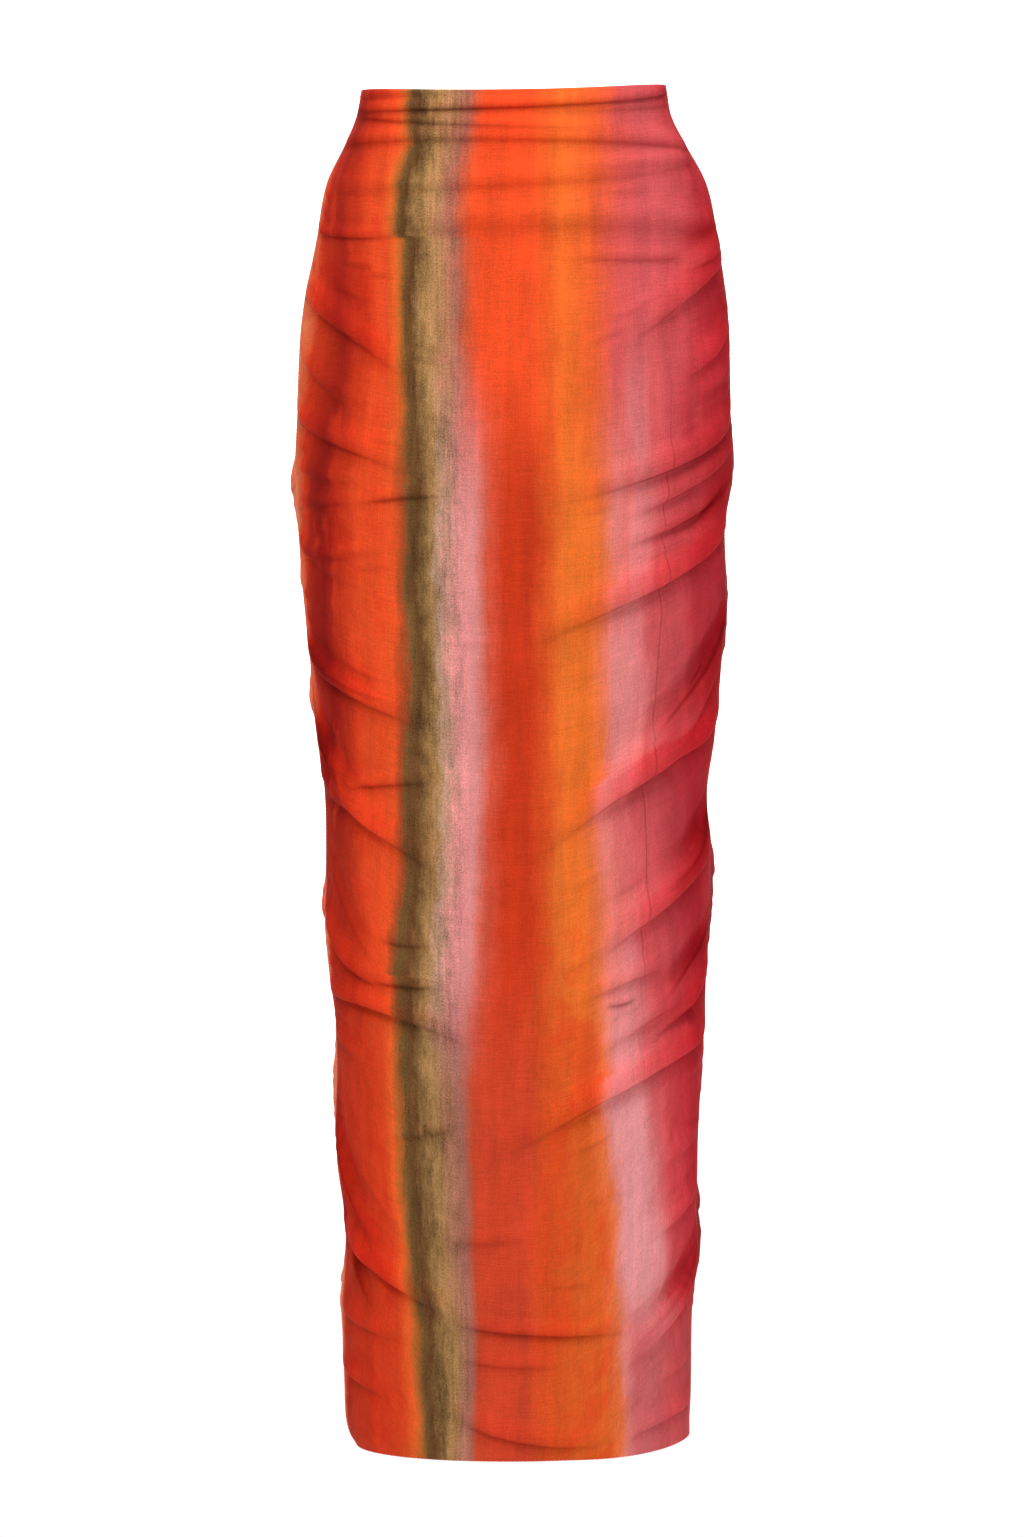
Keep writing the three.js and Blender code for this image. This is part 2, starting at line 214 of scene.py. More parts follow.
BACK_FOLDS = [fold._replace(lap=fold.lap * BACK_LAPS) for fold in BACK_FOLDS]

# How far the gathered sides stand out, and the drops between which they come and go
LEFT_EASE, RIGHT_EASE = 2.2, 3.2
EASE_COMES, EASE_GOES = (250.0, 300.0), (900.0, 850.0)

# Lobes of the back's gathered cloth that stand out past the front's edge. Each peaks so many
# degrees behind the seam and sinks over its spread
Lobe = namedtuple("Lobe", "side drop out reach")
LOBES = [
    Lobe("left", 160, 3, 26),
    Lobe("left", 318, 7, 30),
    Lobe("left", 388, 3, 30),
    Lobe("left", 488, 5, 30),
    Lobe("left", 655, 5, 44),
    Lobe("left", 792, 6, 44),
    Lobe("left", 962, 4, 38),
    Lobe("right", 185, 3, 30),
    Lobe("right", 290, 4, 44),
    Lobe("right", 418, 5, 52),
    Lobe("right", 642, 6, 64),
    Lobe("right", 772, 3, 34),
    Lobe("right", 922, 6, 46),
]
LOBE_PEAK, LOBE_SPREAD = 11.0, 18.0

# Shape of a fold across its line in shares of its width, negative above the line
CREST_CENTRE, CREST_SPREAD = -0.38, 0.34
TROUGH_CENTRE, TROUGH_SPREAD, TROUGH_LEVEL = 0.15, 0.21, -0.42
LAP_CENTRE, LAP_SPREAD, LAP_ABOVE, LAP_BELOW = 0.22, 0.24, 0.6, 0.4
# The crease's painted shade: a narrow dark line, and a softer painted shade just below it
LINE_CENTRE, LINE_SPREAD, LINE_SHARE = 0.03, 0.07, 0.75
SHADE_CENTRE, SHADE_SPREAD, SHADE_SHARE = 0.14, 0.36, 0.42
# Painted shade in the valley above a ridge, partly the deeper colour of doubled cloth
VALLEY_CENTRE, VALLEY_SPREAD, VALLEY_SHARE = -1.05, 0.34, 0.9
VALLEY_LEAST, VALLEY_WIDENS = 0.15, 0.8
DIP_VALLEY_CENTRE = -0.15
# Painted highlight on a lit ridge, partly the deeper red of doubled cloth
RIDGE_CENTRE, RIDGE_SPREAD = -0.36, 0.36
SLIP_FROM, SLIP_TO = -0.62, -0.50
SWAG_CENTRE, SWAG_SPREAD = -0.1, 0.9

# In millimetres: the least width of a crease's painted shade line, the lap that draws it in
# full, the lap that doubles the cloth and gives the full painted valley shade and ridge
# highlight, and how far below a fold its slip dies out
LINE_LEAST, LINE_LAP = 1.9, 3.0
DEEPEST_LAP = 10.0
SLIP_REACH = 70.0

# Where folds are held by a seam and where the cloth is gathered, in degrees from the centre
HELD_FROM, HELD_FULL = 55.0, 85.0
GATHER_FROM, GATHER_FULL = 30.0, 85.0

# Shares of a fold's length over which a free end swells and dies out
FREE_START, FREE_END = 0.3, 0.5

# The steepest fall of a fold, the weight of unfolded cloth in a swag, how far rows follow the
# swags, and how much the folds' lifts and the back's slips are scaled
STEEPEST = 1.6
SWAG_REST = 0.25
ROW_FOLLOW = 0.75
FOLD_DEPTH = 1.2
BACK_SLIP = 0.3

# Ranges that the shapes of the small random folds are drawn from
Crimp = namedtuple("Crimp", "sag lift width lap crease")
PUCKER = Crimp((-2, 3), (1.2, 2.8), (8, 13), (1.0, 3.0), (0.2, 0.5))
CRINKLE = Crimp((-2, 2), (0.5, 1.3), (7, 12), (0.0, 1.5), (0.1, 0.3))

# Where the dyed bands begin across the front, in millimetres from its centre line, at a drop
Bands = namedtuple("Bands", "drop core flame olive gold stone pink red amber blush rose crimson")
FRONT_BANDS = [
    Bands(0, -117, -98, -83, -69, -53, -32, -16, 27, 78, 94, 112),
    Bands(30, -128, -103, -83, -70, -55, -36, -18, 27, 79, 102, 124),
    Bands(46, -134, -106, -82, -69, -56, -39, -20, 27, 79, 107, 133),
    Bands(66, -140, -110, -89, -76, -61, -43, -22, 27, 78, 109, 138),
    Bands(90, -146, -113, -93, -82, -65, -46, -24, 27, 76, 110, 143),
    Bands(120, -150, -116, -94, -83, -66, -47, -24, 27, 75, 110, 146),
    Bands(122, -148, -114, -87, -74, -59, -44, -22, 28, 75, 106, 147),
    Bands(200, -141, -107, -88, -76, -62, -44, -22, 29, 73, 102, 148),
    Bands(300, -158, -124, -86, -70, -59, -44, -22, 29, 73, 102, 148),
    Bands(400, -160, -126, -85, -72, -62, -44, -22, 29, 73, 102, 148),
    Bands(500, -151, -119, -85, -70, -59, -43, -21, 28, 73, 102, 146),
    Bands(620, -148, -119, -88, -72, -59, -42, -22, 27, 71, 100, 143),
    Bands(700, -141, -115, -97, -80, -66, -50, -26, 27, 72, 100, 140),
    Bands(800, -139, -115, -94, -78, -62, -46, -28, 27, 76, 106, 138),
    Bands(870, -136, -112, -87, -72, -56, -42, -28, 27, 80, 116, 136),
    Bands(920, -134, -108, -81, -66, -50, -40, -27, 27, 83, 119, 134),
    Bands(975, -133, -106, -75, -61, -44, -37, -25, 27, 86, 120, 134),
    Bands(1020, -132, -105, -73, -59, -43, -36, -25, 28, 87, 117, 133),
    Bands(1082, -130, -104, -72, -58, -46, -38, -27, 29, 88, 114, 132),
]
# The same bands' places along the dye scale, which runs from 0 at the left seam to 1
BAND_SCALE = Bands(None, 0.07, 0.17, 0.30, 0.36, 0.40, 0.44, 0.54, 0.66, 0.80, 0.88, 0.96)

# The inner end's free edge, in degrees round from the front centre
LAP_EDGE_TOP, LAP_EDGE_LOW = 43.5, 39.5
LAP_FROM, LAP_TO = 270.0, 740.0
LAP_INSET = 2.6
LAP_LIFT, LAP_FALL = 0.8, 0.3

# Seam stitches, in millimetres, and the hem's whip stitches, which turn round it between two
# angles in radians and slant by so many metres a radian
SEAM_STITCH, SEAM_BITE, SEAM_PROUD = 3.0, 1.0, 0.35
SEAM_TOP, SEAM_FOOT = 6.0, 4.0
WHIP_FROM, WHIP_TO, WHIP_POINTS = -1.0, 2.6, 6
STITCH_SLANT = 0.0004

# Grids of the panels, whose rows follow the swags round the column
Grid = namedtuple("Grid", "columns rows")
FRONT_GRID = Grid(90, 520)
BACK_GRID = Grid(84, 330)
LAP_GRID = Grid(20, 240)
HEM_ROWS = 8

# How far round the hem is rolled, in degrees, and the drop over which the swags level out
HEM_TURN = 320.0
EDGE_WINDOW = 46.0

Half = namedtuple("Half", "depth facing dip")
FRONT = Half("front", -1, WAIST_DIP)
BACK = Half("back", 1, 0.0)

# The stage, in metres and watts
Lamp = namedtuple("Lamp", "name place aim size power")
LAMPS = [
    Lamp("key", (-1.3, -2.5, 2.5), (0.0, 0.0, -0.5), 1.6, 57.0),
    Lamp("fill", (2.4, -3.0, 1.0), (0.0, 0.0, -0.55), 2.4, 32.0),
    Lamp("top", (0.0, -0.4, 2.8), (0.0, -0.2, -0.5), 2.2, 46.0),
    Lamp("left side", (-2.6, -0.9, 0.6), (0.0, 0.0, -0.5), 1.2, 9.0),
    Lamp("left wall", (-4.0, 7.4, 2.0), (-1.4, 11.0, 0.2), 2.4, 260.0),
    Lamp("right wall", (4.0, 7.4, 2.0), (1.4, 11.0, 0.2), 2.4, 260.0),
    Lamp("floor behind", (0.0, 5.2, 3.2), (0.0, 6.2, -1.4), 4.5, 270.0),
]
ROOM_LIGHT = 0.30
BACKDROP_REACH, BACKDROP_BEND, BACKDROP_RADIUS = 16.0, 8.0, 3.0


def smoothstep(low, high, value):
    share = np.clip((value - low) / (high - low), 0.0, 1.0)
    return share * share * (3.0 - 2.0 * share)


def bell(value, centre, spread):
    return np.exp(-(((value - centre) / spread) ** 2))


# The column's outline


def section_value(name, drop):
    """One column of the section table at each drop, on a smooth curve through its rows."""
    drops = np.array([row.drop for row in SECTIONS], float)
    values = np.array([getattr(row, name) for row in SECTIONS], float)
    last = len(SECTIONS) - 1
    row = np.clip(np.searchsorted(drops, drop, side="left") - 1, 0, last - 1)
    before, after = np.maximum(row - 1, 0), np.minimum(row + 2, last)
    span = drops[row + 1] - drops[row]
    share = (drop - drops[row]) / span
    leave = (values[row + 1] - values[before]) / (drops[row + 1] - drops[before]) * span
    arrive = (values[after] - values[row]) / (drops[after] - drops[row]) * span
    square, cube = share**2, share**3
    return (
        values[row] * (2 * cube - 3 * square + 1)
        + leave * (cube - 2 * square + share)
        + values[row + 1] * (3 * square - 2 * cube)
        + arrive * (cube - square)
    )


def cloth_points(half, angle, drop, lift):
    """Points of the cloth at angles and drops, lifted outwards, in metres."""
    turn = np.radians(angle)
    across, ahead = np.sin(turn), np.maximum(np.cos(turn), 0.0)
    sideways = -half.facing * np.sign(across)
    width = np.where(sideways < 0, section_value("left", drop), section_value("right", drop))
    depth = section_value(half.depth, drop)
    reach = 2.0 / ROUNDNESS
    normal_reach = reach * (ROUNDNESS - 1.0)
    x = sideways * width * np.abs(across) ** reach
    y = half.facing * depth * ahead**reach
    out_x = sideways * np.abs(across) ** normal_reach / width
    out_y = half.facing * ahead**normal_reach / depth
    shift = lift / np.hypot(out_x, out_y)
    x = x + out_x * shift
    y = half.facing * np.maximum(half.facing * (y + out_y * shift), SEAM_GAP / 2)
    return np.stack([x, y, -drop], axis=-1) * MM


def ease_window(drop):
    return smoothstep(*EASE_COMES, drop) * smoothstep(*EASE_GOES, drop)


def side_ease(half, angle, drop):
    """How far the gathered sides stand out from the column."""
    across = np.sin(np.radians(angle)) * -half.facing
    return ease_window(drop) * np.where(across > 0, RIGHT_EASE, LEFT_EASE) * across**4


# Folds


def fold_line(fold, angle):
    """Share along a fold, its line's drop and the line's fall in millimetres a degree."""
    along = (angle - fold.start) / (fold.stop - fold.start)
    line = fold.at + (fold.end - fold.at) * along + 4 * fold.sag * along * (1 - along)
    fall = (fold.end - fold.at + 4 * fold.sag * (1 - 2 * along)) / (fold.stop - fold.start)
    return along, line, fall


def fold_strength(fold, along):
    """How full a fold is along its length: an end that a seam holds doesn't die out."""
    held_start = smoothstep(HELD_FROM, HELD_FULL, abs(fold.start))
    held_end = smoothstep(HELD_FROM, HELD_FULL, abs(fold.stop))
    swell = smoothstep(0.0, FREE_START, along)
    fade = smoothstep(0.0, FREE_END, 1.0 - along)
    strength = (swell + (1 - swell) * held_start) * (fade + (1 - fade) * held_end)
    return np.where((along > 0.0) & (along < 1.0), strength, 0.0)


def swag_fall(folds, angle, drop):
    """The way that the cloth's threads sag at each point: a blend of the folds near it."""
    total, weight = np.zeros_like(drop), np.full_like(drop, SWAG_REST)
    for fold in folds:
        along, line, fall = fold_line(fold, angle)
        across = (drop - line) / (fold.width * np.hypot(1.0, fall / ARC_PER_DEGREE))
        near = abs(fold.lift) * fold_strength(fold, along) * bell(across, SWAG_CENTRE, SWAG_SPREAD)
        total += near * np.clip(fall, -STEEPEST * 2, STEEPEST * 2)
        weight += near
    window = smoothstep(0.0, EDGE_WINDOW, drop) * smoothstep(0.0, EDGE_WINDOW, HEM_DROP - drop)
    return ROW_FOLLOW * window * total / weight


def swag_rows(half, folds, grid):
    """Angles of a panel's columns, and the drop of every row at each of them."""
    angles = np.linspace(-SEAM_ANGLE, SEAM_ANGLE, grid.columns + 1)
    drops = np.zeros((grid.rows + 1, grid.columns + 1))
    middle = grid.columns // 2
    drops[:, middle] = np.linspace(0.0, HEM_DROP, grid.rows + 1)
    for way in (1, -1):
        end = grid.columns if way > 0 else 0
        for column in range(middle, end, way):
            step = angles[column + way] - angles[column]
            here = drops[:, column]
            half_way = here + 0.5 * step * swag_fall(folds, angles[column], here)
            fall = swag_fall(folds, angles[column] + 0.5 * step, half_way)
            drops[:, column + way] = np.clip(here + step * fall, 0.0, HEM_DROP)
    turn = np.radians(angles)
    top = half.dip * np.cos(turn) ** 2 + half.facing * WAIST_TILT * np.sin(turn)
    drops = drops + top * np.clip(1.0 - drops / WAIST_REACH, 0.0, 1.0)
    rise = HEM_RISE * np.maximum(-half.facing * np.sin(turn), 0.0) ** 4
    drops = drops - rise * np.clip(1.0 - (HEM_DROP - drops) / RISE_REACH, 0.0, 1.0)
    return angles, drops


# The cloth's lift, turn and fall, its painted crease shade, valley shade and ridge highlight, and the
# pattern's slip
Relief = namedtuple("Relief", "lift turn fall crease valley ridge slip")


def fold_relief(folds, angle, drop):
    """What all the folds do at each point: lift, slide and slip the cloth, and paint its shade and highlight.
    """
    zero = np.zeros_like(drop)
    lift, turn, fall, crease, valley, ridge, slip = (zero.copy() for _ in Relief._fields)
    gathered = smoothstep(GATHER_FROM, GATHER_FULL, np.abs(angle))
    # Painted valley shade is deeper and wider where the cloth is gathered at the sides
    gathered_shade_weight = VALLEY_LEAST + (1.0 - VALLEY_LEAST) * gathered
    valley_spread = VALLEY_SPREAD * (1.0 + VALLEY_WIDENS * gathered)
    for fold in folds:
        along, line, slope = fold_line(fold, angle)
        strength = fold_strength(fold, along)
        if not strength.any():
            continue
        slope = np.clip(slope / ARC_PER_DEGREE, -STEEPEST, STEEPEST)
        steep = np.hypot(1.0, slope)
        across = (drop - line) / (fold.width * steep)
        lift += FOLD_DEPTH * fold.lift * strength * (
            bell(across, CREST_CENTRE, CREST_SPREAD)
            + TROUGH_LEVEL * bell(across, TROUGH_CENTRE, TROUGH_SPREAD)
        )
        slide = fold.lap * strength * (
            LAP_ABOVE * bell(across, -LAP_CENTRE, LAP_SPREAD)
            - LAP_BELOW * bell(across, LAP_CENTRE, LAP_SPREAD)
        )
        fall += slide / steep
        turn -= slide * slope / steep / ARC_PER_DEGREE
        # Painted shade along the crease: a dark line where the cloth laps over, and softer shade below
        line_spread = max(LINE_SPREAD, LINE_LEAST / fold.width)
        line_share = LINE_SHARE * min(1.0, fold.lap / LINE_LAP)
        shading = line_share * bell(across, LINE_CENTRE, line_spread)
        shading += SHADE_SHARE * bell(across, SHADE_CENTRE, SHADE_SPREAD)
        crease = np.maximum(crease, fold.crease * strength * shading)
        # Painted valley shade and ridge highlight, partly doubled cloth, grow with the lap
        doubling_and_painted_light = fold.lap / DEEPEST_LAP * strength
        centre = VALLEY_CENTRE if fold.lift > 0 else DIP_VALLEY_CENTRE
        valley += VALLEY_SHARE * gathered_shade_weight * doubling_and_painted_light * bell(across, centre, valley_spread)
        # Painted highlight on the ridge of a fold
        if fold.lift > 0:
            ridge = np.maximum(ridge, doubling_and_painted_light * bell(across, RIDGE_CENTRE, RIDGE_SPREAD))
        below = smoothstep(SLIP_FROM, SLIP_TO, across)
        slip += fold.slip * strength * below * np.exp(-np.maximum(drop - line, 0.0) / SLIP_REACH)
    hold = smoothstep(0.0, SEAM_HOLD, SEAM_ANGLE - np.abs(angle))
    lift = hold * MOST_LIFT * np.tanh(lift / MOST_LIFT)
    return Relief(lift, turn * hold, fall * hold, crease, valley, ridge, slip)


def lobe_lift(angle, drop):
    """How far the back's lobes stand out behind the side seams."""
    behind = SEAM_ANGLE - np.abs(angle)
    total = np.zeros_like(drop)
    for lobe in LOBES:
        on_side = (angle > 0) if lobe.side == "left" else (angle < 0)
        rise = smoothstep(0.0, LOBE_PEAK, behind)
        sink = bell(np.maximum(behind - LOBE_PEAK, 0.0), 0.0, LOBE_SPREAD)
        total += on_side * lobe.out * rise * sink * bell(drop, lobe.drop, lobe.reach)
    return total


def small_fold(rng, crimp, start, at, stop, end):
    """A short fold whose shape is drawn from the ranges of its crimp."""
    sag, lift, width, lap, crease = (rng.uniform(*span) for span in crimp)
    return Fold(start, at, stop, end, sag, lift, width, lap, crease)


def side_puckers(seed):
    """Short ridges that the gathering stitches draw up along both side seams."""
    rng = random.Random(seed)
    folds = []
    for side in (-1, 1):
        drop = 70.0
        while drop < HEM_DROP - 24:
            length = rng.uniform(9, 26)
            end = drop + length * rng.uniform(0.4, 1.5)
            stop = side * (SEAM_ANGLE - length)
            folds.append(small_fold(rng, PUCKER, side * SEAM_ANGLE, drop, stop, end))
            drop += rng.uniform(9, 19)
    return folds


def fine_crinkles(folds, seed, count):
    """Faint creases that run along the swags between the main folds."""
    rng = random.Random(seed)
    made = []
    for _ in range(count):
        angle = rng.uniform(20, 82) * rng.choice((-1, 1))
        drop = rng.uniform(60, HEM_DROP - 40)
        fall = float(swag_fall(folds, np.array([angle]), np.array([drop]))[0]) / ROW_FOLLOW
        length = rng.uniform(9, 24) * math.copysign(1, -angle)
        end = drop + fall * length + rng.uniform(-2, 2)
        made.append(small_fold(rng, CRINKLE, angle, drop, angle + length, end))
    return made


# The dyed pattern


def dye_scale(x, drop, slip):
    """Place of each point of the front on the dye scale, from its distance off the centre."""
    names = Bands._fields[1:]
    drops = [row.drop for row in FRONT_BANDS]
    left = -section_value("left", drop)
    right = section_value("right", drop)
    edges = [left] + [np.interp(drop, drops, [getattr(row, n) for row in FRONT_BANDS]) for n in names]
    edges.append(right)
    for index in range(1, len(edges)):
        edges[index] = np.maximum(edges[index], edges[index - 1] + 1.0)
    scale = [0.0] + [getattr(BAND_SCALE, n) for n in names] + [1.0]
    place = x + slip
    result = np.zeros_like(x)
    for low, high, start, stop in zip(edges, edges[1:], scale, scale[1:]):
        share = np.clip((place - low) / np.maximum(high - low, 1.0), 0.0, 1.0)
        result += share * (stop - start)
    return result


def lap_edge(drop):
    """Angle of the inner end's free edge at each drop."""
    return np.interp(drop, [LAP_FROM, LAP_TO], [LAP_EDGE_TOP, LAP_EDGE_LOW])


# The painted crease shade, valley shade and ridge highlight, as point attributes of a panel
def shades(relief):
    return {"crease": relief.crease, "valley": relief.valley, "ridge": relief.ridge}


# Mesh building


def grid_mesh(name, points, uv_maps, attributes):
    """A mesh of rows and columns of points, from a plain grid whose corners are moved."""
    rows, columns = points.shape[0] - 1, points.shape[1] - 1
    mesh = bpy.data.meshes.new(name)
    work = bmesh.new()
    bmesh.ops.create_grid(work, x_segments=columns, y_segments=rows, size=0.5)
    work.verts.ensure_lookup_table()
    place = {}
    for vert in work.verts:
        column = round((vert.co.x + 0.5) * columns)
        row = round((0.5 - vert.co.y) * rows)
        place[vert.index] = (row, column)
    for vert in work.verts:
        vert.co = points[place[vert.index]]
    work.to_mesh(mesh)
    work.free()
    spots = np.array([place[index] for index in range(len(place))])
    corners = np.empty(len(mesh.loops), np.int32)
    mesh.loops.foreach_get("vertex_index", corners)
    for key, values in uv_maps.items():
        layer = mesh.uv_layers.new(name=key)
        chosen = values[spots[corners, 0], spots[corners, 1]]
        layer.data.foreach_set("uv", chosen.astype(np.float32).ravel())
    for key, values in attributes.items():
        layer = mesh.attributes.new(key, "FLOAT", "POINT")
        layer.data.foreach_set("value", values[spots[:, 0], spots[:, 1]].astype(np.float32))
    return mesh


def smooth_object(name, mesh, materials):
    obj = bpy.data.objects.new(name, mesh)
    bpy.context.scene.collection.objects.link(obj)
    mesh.polygons.foreach_set("use_smooth", [True] * len(mesh.polygons))
    for material in materials:
        mesh.materials.append(material)
    return obj


def face_outwards(obj, half):
    """Turns the faces of a panel so that they look away from the column's axis."""
    mesh = obj.data
    middle = mesh.polygons[len(mesh.polygons) // 2]
    if middle.normal.y * half.facing < 0:
        mesh.flip_normals()


def thicken(obj, thickness):
    solid = obj.modifiers.new("cloth wall", "SOLIDIFY")
    solid.thickness = thickness
    solid.offset = -1.0
    solid.use_rim = True


def woven_length(points):
    """Length of cloth round each row and down each column, in metres."""
    around = np.linalg.norm(np.diff(points, axis=1), axis=2)
    down = np.linalg.norm(np.diff(points, axis=0), axis=2)
    u = np.concatenate([np.zeros((points.shape[0], 1)), np.cumsum(around, axis=1)], axis=1)
    v = np.concatenate([np.zeros((1, points.shape[1])), np.cumsum(down, axis=0)], axis=0)
    return np.stack([u - u[:, points.shape[1] // 2][:, None], -v], axis=-1)


def outwards(path):
    """Level directions away from the column's axis at each point of a path round it."""
    along = np.gradient(path[:, :2], axis=0)
    out = np.stack([along[:, 1], -along[:, 0]], axis=-1)
    out *= np.sign((out * path[:, :2]).sum(axis=1))[:, None]
    out /= np.linalg.norm(out, axis=1)[:, None]
    return np.concatenate([out, np.zeros((len(path), 1))], axis=1)


def round_hem(path, radius, turn):
    """Points at an angle round the rolled hem, which starts at the cloth's face and turns in."""
    out = outwards(path)
    down = np.array([0.0, 0.0, -1.0])
    return path + out * (radius * math.cos(turn) - radius) + down * radius * math.sin(turn)


def rolled(points, radius):
    """A panel's points with the rows of its rolled hem below them."""
    turns = np.radians(np.linspace(0.0, HEM_TURN, HEM_ROWS + 1)[1:])
    return np.concatenate([points, [round_hem(points[-1], radius, turn) for turn in turns]])


def with_hem(values):
    return np.concatenate([values, np.repeat(values[-1:], HEM_ROWS, axis=0)])


def panel(name, half, folds, grid, lobes=False):
    """A panel of the wrap as a mesh, with its dye, weave and inner end as UV maps."""
    angles, drops = swag_rows(half, folds, grid)
    angle = np.broadcast_to(angles, drops.shape)
    relief = fold_relief(folds, angle, drops)
    extra = side_ease(half, angle, drops)
    if lobes:
        extra = extra + lobe_lift(angle, drops)
    turned = np.clip(angle + relief.turn, -SEAM_ANGLE, SEAM_ANGLE)
    fallen = np.clip(drops + relief.fall, drops[0], drops[-1])
    points = cloth_points(half, turned, fallen, relief.lift + extra)
    flat_x = cloth_points(half, turned, fallen, np.zeros_like(drops))[..., 0] / MM
    if half is FRONT:
        dye = dye_scale(flat_x, fallen, relief.slip)
    else:
        dye = np.clip((turned + SEAM_ANGLE + BACK_SLIP * relief.slip) / (2 * SEAM_ANGLE), 0.0, 1.0)
    past_lap = (angle - lap_edge(drops)) * ARC_PER_DEGREE * MM
    edge = points[-1]
    points = rolled(points, settings().cloth.hem_roll)
    uv_maps = {
        "dye": with_hem(np.stack([dye, 1.0 - fallen / HEM_DROP], axis=-1)),
        "weave": woven_length(points),
        "lap": with_hem(np.stack([past_lap, 1.0 - fallen / HEM_DROP], axis=-1)),
    }
    attributes = {key: with_hem(values) for key, values in shades(relief).items()}
    attributes["roll"] = np.concatenate([np.zeros_like(drops), np.ones((HEM_ROWS, grid.columns + 1))])
    return grid_mesh(name, points, uv_maps, attributes), edge


# Materials

# How fine each noise is: its scale across and along the threads, its detail and roughness
Grain = namedtuple("Grain", "across along detail roughness")
CREEP = Grain(40, 14, 4, 0.62)
FEATHER = Grain(420, 160, 3, 0.7)
DRIFT = Grain(16, 9, 3, 0.6)
BLOTCHES = Grain(130, 60, 4, 0.7)
PATCHES = Grain(36, 11, 3, 0.6)
STROKES = Grain(75, 5, 3, 0.6)
STREAKS = Grain(340, 18, 3, 0.7)
POOLS = Grain(22, 15, 4, 0.65)
WASHES = Grain(26, 5, 2, 0.5)
WARP = Grain(900, 60, 2, 0.6)
WEFT = Grain(55, 900, 2, 0.6)
SPECKS = Grain(760, 760, 2, 0.6)
RIPPLES = Grain(22, 100, 3, 0.55)
TWIST = Grain(2600, 2600, 1, 0.5)

# Where the painted valley shade, partly doubled cloth, fades to a quarter towards the left
# seam, on the front's and the back's dye scale
LEFT_EDGE = {"front": (0.0, 0.06), "back": (0.99, 0.93)}


def linear(colour):
    """A display colour as the renderer's linear values."""
    return tuple(c / 12.92 if c <= 0.04045 else ((c + 0.055) / 1.055) ** 2.4 for c in colour)


def shade(colour, amount):
    return tuple(min(max(c * amount, 0.0), 1.0) for c in colour)


def blend(first, second, share):
    return tuple(a + (b - a) * share for a, b in zip(first, second))


